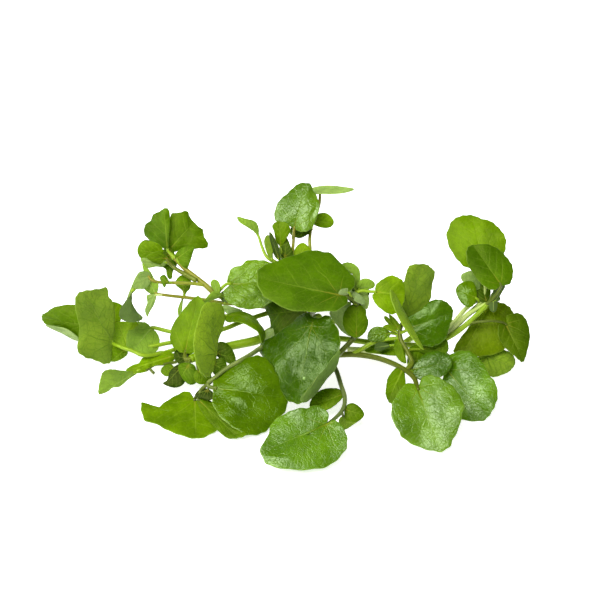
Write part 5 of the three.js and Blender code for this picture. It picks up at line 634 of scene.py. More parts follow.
# Front right sprig, with the leaves that stand above its branch
frontRightLeaves = [
    leaf("bigRound", upper, "silver", [46.3, 3.6, 11.5], [54, -18, 0.9], [38, -7.4, 5.2], [2, 1, 0, 0.5],
        [[46.3, 3.8], [45, 5.2], [42, 4.7], [39.8, 2], [37.8, -1.2], [37.2, -3.8], [37.6, -7.8],
        [39.5, -11], [40.6, -13.3], [43.2, -15.4], [47.2, -17.4], [51.4, -18.5], [54.8, -18.8],
        [57.8, -16.9], [59, -14.2], [60.9, -10.6], [61.9, -6.2], [62.8, -3], [61.6, 0], [59.6, 3.2],
        [56.6, 5.5], [53.6, 7.2], [51, 8], [48.3, 7.4]],
        folds=[[[48.3, -16.4], [44.2, -0.3], 0.5, 0.5], [[50, 8], [50, -18], 0.2, 2], [[40, -17.5],
        [60, -17.5], 0.1, 1]],
        ridges=[[[51.6, 6], [54.2, -6.8], -0.4, 1.1]]),
    leaf("roundBehind", upper, "satin", [56.4, 10, 8.8], [71, -6.4, 2], [66, 15.5, 13.5],
        [1.8, 0.8, 0, 0.4],
        [[55.8, 9.6], [57, 13.4], [58.8, 15.8], [63.4, 16.7], [66.6, 15], [69.5, 11.8], [71.4, 8.2],
        [73.6, 5.4], [74.5, 1], [73.6, -2.6], [71.7, -5.9], [69.2, -8], [63.6, -8.1], [59, -6], [56, -0.5],
        [55, 4.5]],
        folds=[[[54, -9], [74, -9], 0.05, 1]],
        ridges=[[[60, 12], [64, 2], 0.3, 1.5]]),
    leaf("wideAbove", upper, "silverDeep", [43.6, 9.8, 11.2], [58.4, 12.8, 13.6], [52, 16.4, 15.4],
        [1, 0.6, 0, 0.3],
        [[43.6, 9.8], [45.8, 12], [48.4, 14.9], [52.2, 16.4], [55.8, 15.6], [58.4, 13.4], [57.8, 10.2],
        [55, 7.6], [51, 6.4], [46.8, 6.4]]),
    leaf("leftSmall", upper, "mid", [41.4, 10.4, 11.4], [36.6, 0, 5.4], [35.3, 6.5, 8.4],
        [0.8, -0.4, 0, 0.3],
        [[41.4, 10.4], [39.4, 10.7], [37.6, 9.2], [35.9, 6.7], [35.3, 3.4], [35.4, 0.6], [36.8, -1.8],
        [39.6, -1], [42, 3.4], [42.2, 6.4]]),
    leaf("tallBehind", under, "underNet", [42, 28, 21.5], [48, 47, 35.5], [51.5, 40, 29.5],
        [1, 0.8, 0, 0.4],
        [[42, 27.8], [39.6, 31], [39.4, 36], [41.7, 41], [42.8, 45], [44.5, 46.6], [48.8, 46.9], [51, 45.6],
        [52.5, 43.7], [51.6, 39], [50.3, 33.6], [46, 29.2]]),
    leaf("darkShiny", upper, "glossyMid", [43.5, 24.3, 22], [58.6, 30, 26.6], [51.6, 18.1, 17.5],
        [1.2, 0.9, 0, 0.5],
        [[43.4, 24.4], [42.1, 27.8], [46.4, 30.1], [50.2, 33.3], [52.8, 34.4], [55.8, 34], [58.2, 32],
        [58.9, 29.8], [57.6, 25.2], [56.1, 20.5], [51.8, 18], [47.6, 18.7], [44.4, 21.2]]),
    leaf("darkBelow", upper, "deep", [47, 17, 14.5], [57, 18, 15.6], [52, 15.8, 13.8], [0.4, 0.2, 0, 0.1],
        [[46.6, 17], [50, 19.4], [56, 20.6], [57.2, 18], [56.5, 15.8], [52.6, 15.8], [48.6, 15.6]]),
    leaf("smallGlossy", upper, "blister", [36.8, 22.7, 17.6], [29, 21.6, 16.8], [33, 24.8, 19.2],
        [0.7, 0.3, 0, 0.2],
        [[36.8, 22.8], [35, 24.4], [31.6, 24.9], [29.3, 23.2], [28.9, 20.6], [30.6, 19.8], [34, 19.9],
        [36.3, 21.2]]),
    leaf("smallGrey", under, "slate", [36.8, 18.4, 14.8], [31.5, 17.6, 14], [34, 19.5, 15.4],
        [0.4, 0.2, 0, 0],
        [[36.9, 18.4], [34.2, 19.5], [31.9, 19.1], [31.3, 17.2], [33, 16.3], [35.2, 17.2]]),
    leaf("brightLong", upper, "mid", [39.4, 21.6, 17.5], [42, 12.6, 12.4], [38.2, 17, 15],
        [0.5, -0.3, 0, 0.2],
        [[39.2, 22], [38.2, 18.6], [38.4, 16], [40, 13.2], [42.4, 12.2], [41.9, 15.5], [41, 18.6],
        [40.2, 21]]),
    leaf("shadeStems", upper, "mid", [41, 17, 12.6], [27.6, 17.4, 10], [34, 20, 12.4], [0.5, 0.3, 0, 0.2],
        [[41, 17], [38.6, 14.8], [33, 15.4], [28, 16.4], [28.6, 18.8], [33, 20], [38.6, 19.8]]),
    leaf("shadeRight", upper, "mid", [43.4, 12.4, 11], [49.8, 14, 11.6], [45, 17.8, 14], [0.5, 0.3, 0, 0.2],
        [[43.2, 10.6], [42.8, 14], [43.8, 17.8], [47.8, 18.2], [50.2, 14.8], [46.8, 11]]),
    leaf("budOne", upper, "bright", [39.6, 24, 20], [35, 28.2, 22.4], [38.8, 26.6, 22], [0.2, 0, 0, 0],
        [[40, 23.8], [37.4, 24.8], [34.7, 27.8], [35.4, 28.7], [38, 26.4], [40.4, 25.2]]),
    leaf("budTwo", upper, "bright", [39.6, 24.4, 20.4], [36.8, 29.2, 24], [39.6, 27, 22.6], [0.2, 0, 0, 0],
        [[39.6, 24], [37.3, 26.6], [36.3, 29.2], [37.4, 28.8], [39.2, 27], [40.6, 25]]),
    leaf("budThree", upper, "bright", [38.6, 23.4, 19.4], [34.8, 25, 20.4], [37, 25.8, 21.4],
        [0.2, 0, 0, 0],
        [[38.8, 22.8], [36, 23.8], [34.3, 25], [36.4, 25.8], [39, 25]]),
]
frontRightStalks = [
    stalk(1.2, 0.8, [[0, 13.4, 3.6], [8, 14.4, 6], [14, 15, 7.8], [19.7, 15.2, 9.2], [25, 15.2, 10],
        [31.6, 14.2, 10.8], [37, 12.4, 11.3], [41.9, 9.9, 11.8], [45.2, 6.9, 12]], "bigRound",
        look="olive"),
    stalk(0.7, 0.6, [[41, 10.4, 11.7], [42.6, 9.9, 11.6]], "wideAbove"),
    stalk(0.6, 0.5, [[43, 9.2, 11.6], [48, 8.6, 8.6], [53, 9, 8.2]], "roundBehind"),
    stalk(0.55, 0.5, [[42.4, 9.6, 11.7]], "leftSmall"),
    stalk(0.85, 0.75, [[42.4, 9.8, 11.7], [44.4, 12.2, 12.6], [42.8, 16.4, 15], [40.6, 20.4, 17.4],
        [40.2, 23.6, 19.6], [41, 26, 20.8]], "tallBehind", look="olive"),
    stalk(0.8, 0.7, [[23.4, 15.4, 9.8], [26.6, 17, 12.2], [30, 19, 14], [35, 20.4, 15.6],
        [40.4, 21, 17.6]]),
    stalk(0.6, 0.5, [[40.4, 22.8, 19], [42, 23.4, 20.8]], "darkShiny"),
    stalk(0.5, 0.45, [[42.6, 16.8, 15.2], [44.6, 17, 14.6]], "darkBelow"),
    stalk(0.5, 0.45, [[40.2, 21.8, 18.2], [38.4, 22.4, 17.9]], "smallGlossy"),
    stalk(0.45, 0.4, [[41.4, 18.8, 16.4], [39.2, 18.6, 15.6]], "smallGrey"),
    stalk(0.45, 0.4, [[40.3, 22, 18.4]], "brightLong"),
    stalk(0.5, 0.45, [[42.8, 16.4, 14.8]], "shadeStems"),
    stalk(0.5, 0.45, [[43.2, 10.8, 12]], "shadeRight"),
    stalk(0.45, 0.4, [[40.4, 22.8, 19]], "budOne"),
    stalk(0.45, 0.4, [[40.4, 23.2, 19.4]], "budTwo"),
    stalk(0.45, 0.4, [[40.2, 22.6, 18.8]], "budThree"),
]

# Upper right sprig
upperRightLeaves = [
    leaf("topBright", upper, "bright", [69.4, 46, 31], [65.6, 63.8, 43.5], [57.5, 56, 37],
        [1.4, 0.6, 0.6, 0.5],
        [[69.4, 44.8], [63.8, 45.5], [60.8, 47.8], [58, 51.8], [56.4, 56.8], [57.9, 61.3], [60, 63.1],
        [62.8, 64], [65.8, 64], [68.8, 62.8], [72, 61.9], [74.2, 60.2], [76.4, 57.7], [77.4, 55.2],
        [77.1, 51.8], [76, 49], [73, 46]]),
    leaf("smallShiny", upper, "glossyBright", [67, 35, 25.5], [60, 38, 27], [63, 32, 23.5],
        [1, 0.2, 0, 0.2],
        [[67, 34.6], [67.1, 37.2], [66, 40.3], [64, 40.8], [61.4, 40], [59.8, 38], [60.4, 35.4], [62, 33],
        [64, 31.8], [65.8, 32.2]]),
    leaf("paleFolded", under, "underPale", [67.4, 37, 26], [62, 43, 30], [66.5, 43.5, 30.5],
        [0.3, 0.3, 0, 0],
        [[67.4, 36.4], [64.4, 39.4], [62, 41], [61.6, 42.8], [62.6, 43.8], [65.6, 44.4], [68.4, 40.2]]),
    leaf("shadedInner", upper, "shade", [70.4, 34, 24], [68.4, 40.4, 28], [71.8, 37.4, 26],
        [0.4, 0, 0, 0.1],
        [[70.4, 33.2], [67.4, 34.6], [67, 37.8], [68.2, 40.8], [70.8, 39.8], [72, 36.8]]),
]
upperRightStalks = [
    stalk(1.1, 0.8, [[22, 17, 6.6], [30, 16.6, 7], [42, 15.8, 8], [50, 17.4, 10], [58, 23.8, 15],
        [63, 28.4, 19], [68.9, 34, 23.6], [70, 38, 26.4], [70, 42, 28.8]], "topBright", look="cream"),
    stalk(0.95, 0.7, [[54, 20.2, 12.2], [58.8, 26, 15.8], [63.4, 31.4, 20], [67, 34, 23.2],
        [68.9, 34.6, 23.9]], look="cream"),
    stalk(0.5, 0.45, [[68, 33.2, 23], [67.6, 34.2, 24.6]], "smallShiny"),
    stalk(0.5, 0.45, [[68.6, 34.2, 23.6], [68, 35.6, 25]], "paleFolded"),
    stalk(0.5, 0.45, [[69.2, 34.4, 23.8]], "shadedInner"),
]

# Right sprig
rightLeaves = [
    leaf("darkOverTop", upper, "deep", [75.6, 39.6, 32.5], [65.8, 53.4, 42.5], [79.6, 44, 35],
        [1.2, 0.9, 0, 0.4],
        [[75.8, 39.3], [78.4, 39.7], [79.4, 41.5], [79.8, 44], [79.5, 46.5], [78.2, 48.6], [76.4, 50.6],
        [74, 52.4], [70.8, 53.8], [67.6, 53.8], [65.2, 53.5], [63.8, 52.4], [63.4, 50], [64, 46.9],
        [65.6, 44], [67.8, 40.9], [70.2, 38.9], [73, 37.7]]),
    leaf("greySmall", upper, "slate", [73, 36.8, 27.5], [73, 30, 23], [74.4, 33, 25], [0.3, -0.3, 0, 0],
        [[72.8, 37], [71.5, 34.6], [71.5, 31.4], [72.8, 30], [74, 30.8], [74.3, 33.8]]),
    leaf("greyTwin", upper, "slate", [73.4, 34, 26], [76.6, 39.2, 29.5], [75.2, 35, 26.6], [0.3, 0, 0, 0],
        [[73, 33.8], [72.6, 36.8], [74, 39], [77, 39.4], [75.9, 37.2], [74.9, 35.4], [75.1, 34.1]]),
    leaf("backlit", upper, "backlit", [72, 33.2, 21.5], [63, 17, 10.5], [79.6, 29, 18.5],
        [1.2, 0.8, 0, 0.5],
        [[72.4, 33.6], [75.6, 33.5], [78.4, 32.1], [80, 29.6], [80.4, 26], [79, 21], [76.6, 17], [72.4, 15],
        [66, 14.6], [60.6, 14.8], [59, 16.4], [60.3, 19.5], [63.4, 23.6], [66, 27.2], [69.4, 31]]),
    leaf("outerRound", upper, "olive", [77.2, 26, 18.6], [83.3, 12.8, 9.6], [85.3, 22, 15],
        [1, 0.8, 0, 0.3],
        [[77.2, 26], [75, 25.8], [74.5, 23], [75.2, 20.4], [77.2, 17.4], [80, 15], [82.2, 13.1],
        [83.4, 12.6], [84.3, 14.6], [85.1, 18.4], [85.5, 22], [85, 26], [83.6, 28.5], [81.6, 29.7],
        [79.3, 29.4], [77.4, 28.6]]),
    leaf("lowUnderside", under, "underNet", [70.5, 14.6, 6.5], [79.6, 10.5, 5], [74, 7.6, 2.4],
        [0.8, 0.6, 0, 0.3],
        [[67.9, 14.6], [73.5, 17], [77.6, 16.6], [79.8, 15.2], [80.6, 12.2], [79, 9.7], [76.3, 8.2],
        [72.6, 7.3], [69.4, 9.4]]),
]
rightStalks = [
    stalk(1.05, 0.9, [[0, 19.6, 6.5], [10, 20.8, 8], [19.5, 20.8, 9.6], [29, 19.6, 10], [40, 18.8, 10.6],
        [48, 18.6, 12], [56.2, 20.8, 15.2], [64, 26.2, 19.4], [71, 32.9, 24]]),
    stalk(0.6, 0.55, [[70, 32.2, 23.4], [72.6, 34.6, 26.6], [74.6, 37.4, 30.2]], "darkOverTop",
        look="dark"),
    stalk(0.5, 0.45, [[71.2, 33.2, 24.4], [72.4, 35.8, 27]], "greySmall", look="dark"),
    stalk(0.5, 0.45, [[70.6, 32.8, 23.9]], "greyTwin"),
    stalk(0.55, 0.5, [[68.8, 31, 22.4], [70.4, 32.4, 22.2]], "backlit"),
    stalk(0.5, 0.45, [[64, 26, 19.2], [68, 26.7, 20], [73, 27, 20]], "outerRound", look="dark"),
    stalk(0.55, 0.5, [[52, 19.6, 13.5], [55, 16.5, 9], [59, 14, 6.5], [65, 13.5, 5.5]], "lowUnderside"),
    stalk(0.85, 0.75, [[54, 20, 14.2], [59.6, 24.8, 18], [65, 29.8, 21.4], [70.4, 33, 24]], look="cream"),
]

# Back sprig, rising behind the middle of the bunch
backLeaves = [
    leaf("backFoot", upper, "mid", [15.6, 24.4, 1.8], [2, 26, 0.8], [8, 22, 1.2], [0.8, 0.6, 0, 0.2],
        [[15.6, 24.4], [12, 21.6], [7, 21.2], [2.8, 23], [1.4, 26], [3.6, 28.6], [8, 29], [12.6, 27.6]]),
    leaf("backWide", upper, "bright", [19, 33, 4.6], [8, 43, 9], [17, 43, 8], [1, 0.7, 0, 0.4],
        [[19, 33], [14.6, 32.6], [10.2, 34.6], [7.4, 38.6], [7.6, 42.6], [10.6, 45], [15, 44.6],
        [18.8, 41.8], [20.4, 37.4]]),
    leaf("backTop", upper, "mid", [17, 43, 11.4], [6, 49, 16], [14, 50, 17], [0.8, 0.5, 0, 0.3],
        [[17, 43], [13, 42], [8.6, 43.4], [5.6, 46.8], [6.6, 49.4], [10.6, 50.2], [14.6, 49], [17.2, 46]]),
    leaf("backLow", upper, "bright", [12, 18.6, 1.5], [0, 14, 0.6], [4, 20, 1.6], [0.7, 0.5, 0, 0.2],
        [[12, 18.6], [10, 14.6], [5.6, 12], [1, 12.2], [-0.6, 15], [1.6, 18.6], [5.8, 20.8], [10, 20.6]]),
    leaf("backLeft", upper, "bright", [-4, 38, 9], [-15, 41.4, 14], [-8, 44, 16], [0.8, 0.5, 0, 0.3],
        [[-4, 38], [-7, 35.8], [-11.6, 35.6], [-15, 38], [-15.8, 41.6], [-12.6, 44.2], [-8, 44.6],
        [-4.4, 41.8]]),
    leaf("backInner", under, "underSoft", [6, 41.2, 19], [-5, 42, 20], [0, 44.6, 23.5], [0.8, 0.5, 0, 0.3],
        [[6, 41.2], [3, 38], [-1.4, 37.4], [-5, 39.6], [-5.4, 43], [-1.8, 45.4], [2.8, 45.4], [5.8, 43.6]]),
    leaf("backOuter", under, "underNet", [14.6, 38.6, 17], [23, 42.5, 21], [17, 44.6, 23.5],
        [0.8, 0.5, 0, 0.3],
        [[14.6, 38.6], [17.6, 36.6], [21.6, 37.4], [23.6, 40.6], [22.6, 44.4], [18.6, 45.4], [15, 43.6],
        [13.8, 41]]),
]
backStalks = [
    stalk(1.1, 0.8, [[6, 9, 1.1], [9, 13.6, 1.2], [13, 20, 1.4], [17, 27, 2.2], [19, 33, 4.2],
        [19, 38.6, 7.6], [17.6, 42, 10.6]], "backTop"),
    stalk(0.6, 0.5, [[18.4, 31, 3.4]], "backWide"),
    stalk(0.6, 0.5, [[17, 27, 2.2]], "backFoot"),
    stalk(0.6, 0.5, [[10.6, 16.2, 1.3]], "backLow"),
    stalk(0.6, 0.5, [[14, 21.6, 1.5], [9, 24, 2], [2, 27.6, 2.6], [-2.4, 33.4, 5.4]], "backLeft"),
    stalk(0.6, 0.5, [[19, 38.6, 7.6], [14, 41, 13], [9, 41.6, 17.4]], "backInner"),
    stalk(0.5, 0.45, [[15, 40.6, 12]], "backOuter"),
]

# Short sprig rising behind the right of the bunch
backRightLeaves = [
    leaf("backRightLow", upper, "bright", [47, 23.4, 1.5], [57, 23.4, 1], [52, 19.4, 0.6],
        [0.8, 0.5, 0, 0.2],
        [[47, 23.4], [48.4, 20.4], [52, 19], [55.8, 20.2], [57.4, 23.4], [56, 26.4], [52.4, 27.4],
        [49, 26.4]]),
    leaf("backRightTop", upper, "mid", [52, 28.6, 4.6], [44.6, 32, 8], [50, 33.4, 9], [0.8, 0.5, 0, 0.3],
        [[52, 28.6], [48.8, 27.6], [45.4, 29], [43.6, 31.8], [45.2, 34], [49, 34.4], [52, 32.4]]),
    leaf("backRightHigh", under, "underNet", [47.4, 35.4, 12], [43.2, 44, 18], [49, 41, 18],
        [0.7, 0.5, 0, 0.3],
        [[47.4, 35.4], [43.6, 36.4], [42, 40], [43, 43.6], [46.4, 44.6], [49, 42], [49.6, 38.4]]),
    leaf("backRightInner", upper, "mid", [45.6, 33.4, 13], [40.6, 38, 17], [46, 38, 19], [0.7, 0.5, 0, 0.2],
        [[45.6, 33.4], [42, 33.2], [39.8, 35.8], [40.2, 38.8], [43.4, 39.8], [46.6, 38.2], [47.2, 35.4]]),
    leaf("backRightOut", upper, "bright", [53.4, 27, 3.6], [59, 24.4, 3.2], [55, 23, 1], [0.6, 0.4, 0, 0.2],
        [[53.4, 27], [54.6, 23.6], [57.4, 22.4], [59.6, 24.2], [59, 27], [56.2, 28.6]]),
]
backRightStalks = [
    stalk(1.1, 0.7, [[42, 19.4, 1.1], [46, 22.4, 1.2], [49.4, 25.2, 1.8], [52, 27.6, 3.6]], "backRightTop"),
    stalk(0.6, 0.5, [[45.4, 22, 1.2]], "backRightLow"),
    stalk(0.65, 0.5, [[48.6, 24.6, 1.6], [50, 28.6, 5.4], [49.4, 32.2, 9.6]], "backRightHigh"),
    stalk(0.5, 0.45, [[49.9, 30.2, 7.2], [48.2, 31.8, 10.8]], "backRightInner"),
    stalk(0.5, 0.45, [[50.8, 26.4, 2.5]], "backRightOut"),
]


def linear(hexColour):
    # The linear red, green and blue of a colour written as #rrggbb
    parts = np.array([int(hexColour[k:k + 2], 16) for k in (1, 3, 5)]) / 255
    return np.where(parts < 0.04045, parts / 12.92, ((parts + 0.055) / 1.055) ** 2.4)


def rgba(hexColour):
    return (*linear(hexColour), 1.0)


def leafLook(colour, finish, quilt, crinkle, swing):
    # The last three are reliefs in millimetres: the bulge between side veins, small folds and long waves
    return {"colour": colour, "finish": finish, "quilt": quilt, "crinkle": crinkle, "swing": swing}


# Every look of a leaf
leafLooks = {
    "deep": leafLook("#507802", "satin", 0.06, 0.03, 0.2),
    "mid": leafLook("#5d8202", "satin", 0.1, 0.07, 0.3),
    "bright": leafLook("#6b9102", "satin", 0.1, 0.08, 0.3),
    "fresh": leafLook("#779d04", "satin", 0.08, 0.06, 0.25),
    "light": leafLook("#86ad1c", "satin", 0.08, 0.06, 0.25),
    "satin": leafLook("#628f08", "crinkled", 0.04, 0.02, 0.3),
    "glossy": leafLook("#567b02", "glossy", 0.06, 0.03, 0.25),
    "glossyDeep": leafLook("#3b5f02", "glossy", 0.04, 0.02, 0.4),
    "glossyBright": leafLook("#638b02", "glossy", 0.06, 0.04, 0.3),
    "silverDeep": leafLook("#466f04", "crinkled", 0.06, 0.04, 0.3),
    "glossyMid": leafLook("#426902", "glossy", 0.06, 0.04, 0.4),
    "blister": leafLook("#6c9408", "blistered", 0.24, 0.09, 0.4),
    "silver": leafLook("#628b08", "crinkled", 0.05, 0.02, 0.25),
    "olive": leafLook("#4c6b02", "satin", 0.1, 0.05, 0.25),
    "backlit": leafLook("#5f7b00", "satin", 0.08, 0.05, 0.3),
    # paintedDeepShade and shade are painted shade: darker greens for leaves that lie in shade under and
    # between other leaves
    "paintedDeepShade": leafLook("#264202", "satin", 0.1, 0.08, 0.3),
    "shade": leafLook("#3f6202", "satin", 0.1, 0.08, 0.3),
    "slate": leafLook("#445c2b", "under", 0.1, 0.06, 0.3),
    "rolled": leafLook("#597733", "under", 0.0, 0.02, 0.2),
    "underNet": leafLook("#718f10", "netted", 0.08, 0.04, 0.25),
    "underLit": leafLook("#8bab1a", "netted", 0.08, 0.04, 0.25),
    "underSoft": leafLook("#7c9f2c", "under", 0.06, 0.04, 0.25),
    "underPale": leafLook("#90ad60", "under", 0.06, 0.04, 0.2),
    "pale": leafLook("#97b07a", "under", 0.04, 0.04, 0.2),
}

# The six finishes of a leaf's skin: its gloss, the depth of its fine relief in metres, whether it is
# the upper face, and how strongly the veins, the net and the pale midrib show on it
leafFinishes = {
    "glossy": {"roughness": 0.1, "uneven": 0.05, "specular": 0.58, "tint": (0.75, 1, 0.45, 1),
               "relief": 0.00006, "isUpper": True, "veins": 0.55},
    "crinkled": {"roughness": 0.24, "uneven": 0.1, "specular": 1.0, "tint": (0.85, 1, 0.65, 1),
                 "relief": 0.0001, "isUpper": True, "veins": 0.8},
    "blistered": {"roughness": 0.25, "uneven": 0.1, "specular": 1.0, "tint": (0.85, 1, 0.65, 1),
                  "relief": 0.00022, "isUpper": True, "veins": 0.8},
    "satin": {"roughness": 0.42, "uneven": 0.2, "specular": 0.27, "tint": (1, 1, 0.25, 1),
              "relief": 0.00008, "isUpper": True, "veins": 1},
    "under": {"roughness": 0.66, "uneven": 0.2, "specular": 0.2, "tint": (1, 1, 0.25, 1),
              "relief": 0.0001, "isUpper": False, "netting": 0.4, "ribPale": 0.5},
    "netted": {"roughness": 0.66, "uneven": 0.2, "specular": 0.2, "tint": (1, 1, 0.25, 1),
               "relief": 0.00012, "isUpper": False, "netting": 0.75, "ribPale": 0.15},
}
finishOrder = list(leafFinishes)

# Sectors and rings of a blade, for the longest, middling and smallest ones
bladeGrids = [(17.0, 104, 22), (9.0, 72, 14), (0.0, 44, 9)]

# How a leaf's skin bulges and crinkles, and how it ends in a round rim. Lengths are in millimetres,
# and the rings are shares of the way from the leaf's middle to its rim.
skinForm = {
    "firstRing": 0.6,
    "rimStart": 0.955,
    "rimRings": (0.985, 1.0),
    "rimRun": 0.047,
    "rimLeast": 0.05,
    "bulgePower": 0.7,
    "bulgeMean": 0.6,
    "flatByRib": 0.25,
    "fullRelief": 16,
    "crinkleWave": 3.2,
    "crinkleLoss": 0.4,
    "swingWave": 13.0,
    "swingSeed": 900,
    "tintSeed": 5000,
    "tintRange": (0.93, 1.07),
    "patternShift": 40,
    "patternLayer": 3.1,
}
rippleForm = {"waves": 7, "stretch": (0.7, 1.5), "level": 3.2}
clearance = 0.02  # of everything above the surface that the bunch lies on


def ripple(x, y, seed, wavelength):
    # A smooth uneven surface of height about -1 to 1: the sum of sine waves in drawn directions, over level
    draw = np.random.default_rng(seed)
    total = np.zeros_like(x)
    for _ in range(rippleForm["waves"]):
        angle, phase = draw.uniform(0, 2 * np.pi, 2)
        pitch = 2 * np.pi / (wavelength * draw.uniform(*rippleForm["stretch"]))
        total += np.sin(pitch * (x * math.cos(angle) + y * math.sin(angle)) + phase)
    return total / rippleForm["level"]


def lateralPlace(run, side, blade):
    # How many side veins there are up to this point: they leave the rib one spacing apart and lean to the tip
    x = run / blade["length"]
    y = np.abs(side) / blade["halfWidth"]
    shift = np.where(side > 0, bladeForm["lateralShift"], 0.0)
    lean = bladeForm["lateralLean"] * y
    return (x - lean - bladeForm["lateralCurve"] * y ** 2) * bladeForm["lateralCount"] + shift


def ringFaces(starts, sides):
    # Four-cornered faces from each ring of points to the next one
    k = np.arange(sides)
    nextK = (k + 1) % sides
    return np.concatenate([np.stack([a + k, b + k, b + nextK, a + nextK], axis=1)
                           for a, b in zip(starts[:-1], starts[1:])])


def capFaces(middle, start, sides):
    # Three-cornered faces from a middle point to the ring round it
    k = np.arange(sides)
    return np.stack([np.full(sides, middle), start + k, start + (k + 1) % sides], axis=1)


def bladeRelief(blade, run, side, share, seed):
    # Heights over the smooth blade: quilt (|sin(pi veins)|^power - mean), less at the rib and the rim, plus
    # the crinkle and swing ripples. The rib's own is ribHeight exp(-(side / ribWidth)^2), less to the tip.
    look = leafLooks[blade["look"]]
    swell = min(1.0, blade["length"] / skinForm["fullRelief"])
    veins = lateralPlace(run, side, blade)
    bulge = np.abs(np.sin(np.pi * veins)) ** skinForm["bulgePower"] - skinForm["bulgeMean"]
    fade = (1 - share ** 4) * np.clip(np.abs(side) / (skinForm["flatByRib"] * blade["halfWidth"]), 0, 1)
    crinkles = look["crinkle"] * ripple(run, side, seed, skinForm["crinkleWave"])
    swings = look["swing"] * ripple(run, side, seed + skinForm["swingSeed"], skinForm["swingWave"])
    relief = swell * (look["quilt"] * bulge * fade + crinkles * (1 - skinForm["crinkleLoss"] * share ** 6)
                      + swings)
    rib = bladeForm["ribHeight"] * swell * np.exp(-(side / bladeForm["ribWidth"]) ** 2)
    rib = rib * np.clip(bladeForm["ribReach"] - run / blade["length"], 0, 1) * (1 - share ** 8)
    return relief, rib


def bladeArrays(blade, seed):
    # The closed skin of a leaf: rings of its outline shrunk to a middle point, moved by the relief and set
    # off to both sides by half a thickness, which falls at the rim as sqrt(1 - gone^2), and on the lower face
    # by the rib's height too. Returns points, faces and attributes.
    look = leafLooks[blade["look"]]
    _, sectors, rings = next(g for g in bladeGrids if blade["length"] >= g[0])
    steps = np.append(np.linspace(0, 1, rings - 1)[1:] * skinForm["rimStart"], skinForm["rimRings"])
    steps[0] *= skinForm["firstRing"]
    ringShare = np.repeat(steps[:, None], sectors, axis=1)
    turn = np.repeat(np.arange(sectors)[None, :] / sectors, len(steps), axis=0)
    points, ringRun, ringSide = blade["surface"](turn, ringShare)
    centre, centreRun, centreSide = blade["surface"](np.zeros(1), np.zeros(1))
    # Normals from the differences along both directions of the grid, on the eye's side
    byTurn = np.roll(points, -1, axis=1) - np.roll(points, 1, axis=1)
    normal = unit(np.cross(np.gradient(points, axis=0), byTurn))
    towardsEye = 1.0 if (normal * eyeAxis).sum(-1).mean() > 0 else -1.0
    normal = normal * towardsEye
    centreNormal = unit(normal[0].mean(axis=0))[None, :]

    run = np.append(centreRun, ringRun.ravel())
    side = np.append(centreSide, ringSide.ravel())
    share = np.append(0.0, ringShare.ravel())
    middle = np.vstack([centre, points.reshape(-1, 3)])
    normals = np.vstack([centreNormal, normal.reshape(-1, 3)])
    relief, rib = bladeRelief(blade, run, side, share, seed)
    middle = middle + normals * (relief * (1 if blade["face"] == upper else -1))[:, None]
    gone = ((share - skinForm["rimStart"]) / skinForm["rimRun"]).clip(0, 1)
    half = bladeForm["thickness"] / 2 * np.sqrt(np.clip(1 - gone ** 2, skinForm["rimLeast"], 1))
    frontRib, backRib = (0, rib) if blade["face"] == upper else (rib, 0)
    front = middle + normals * (half + frontRib)[:, None]
    back = middle - normals * (half + backRib)[:, None]
    # Nothing reaches below the surface that the bunch lies on
    lift = np.maximum(0, clearance - np.minimum(front[:, 2], back[:, 2]))
    front[:, 2] += lift
    back[:, 2] += lift

    count = len(front)
    starts = 1 + np.arange(len(steps)) * sectors
    caps = capFaces(0, 1, sectors)
    quads = ringFaces(starts, sectors)
    rimQuads = ringFaces([starts[-1], count + starts[-1]], sectors)
    faces = [caps, quads, caps[:, ::-1] + count, quads[:, ::-1] + count, rimQuads]
    if towardsEye < 0:
        faces = [f[:, ::-1] for f in faces]
    # The face that the look describes, and the other one: satin above, matt below
    shown = finishOrder.index(look["finish"])
    hidden = finishOrder.index("under" if leafFinishes[look["finish"]]["isUpper"] else "satin")
    draw = np.random.default_rng(seed + skinForm["tintSeed"])
    tint = linear(look["colour"]) * draw.uniform(*skinForm["tintRange"])
    # The leaf laid out flat, in a part of the pattern of its own
    patternRun = run + skinForm["patternShift"] * draw.random()
    patternSide = side + skinForm["patternShift"] * draw.random()
    sheet = np.stack([patternRun, patternSide, np.full(count, seed * skinForm["patternLayer"])], axis=1)
    facts = np.stack([share, np.full(count, blade["length"] * cm),
                      np.full(count, blade["halfWidth"] * cm)], axis=1)
    return {
        "points": np.vstack([front, back]),
        "faces": faces,
        "finishes": [shown, shown, hidden, hidden, shown],
        "map": np.tile(np.stack([run / blade["length"], side / blade["halfWidth"]], axis=1), (2, 1)),
        "leafPlace": np.tile(sheet, (2, 1)) * cm,
        "leafFacts": np.tile(facts, (2, 1)),
        "leafTint": np.tile(tint, (2 * count, 1)),
    }


# Stem colours, from the cut end to the leaf
stemLooks = {
    "plain": ("#8ba724", "#80a018"),
    "cream": ("#c8d38c", "#a2b85a"),
    "brown": ("#8c9630", "#7f7a24"),
    "thick": ("#7f9d18", "#76950f"),
    "grey": ("#8a9a5c", "#5c6c28"),
    "slate": ("#66743c", "#5f6e3a"),
    "olive": ("#67751e", "#525c14"),
    "dark": ("#56661c", "#4c5a1a"),
}

# Stems and leaf stalks. The two last circles at an end are these shares of the stem's radius, and they and
# the middle of the cut stand out from it by these many radii.
stemForm = {
    "sides": 14,
    "step": 0.7,
    "fewestSteps": 4,
    "ridges": 5,
    "ridgeHeight": 0.035,
    "footRun": 0.05,
    "endCircles": (0.55, 0.9),
    "endSlides": (0.12, 0.06),
    "cutSlide": 0.13,
}


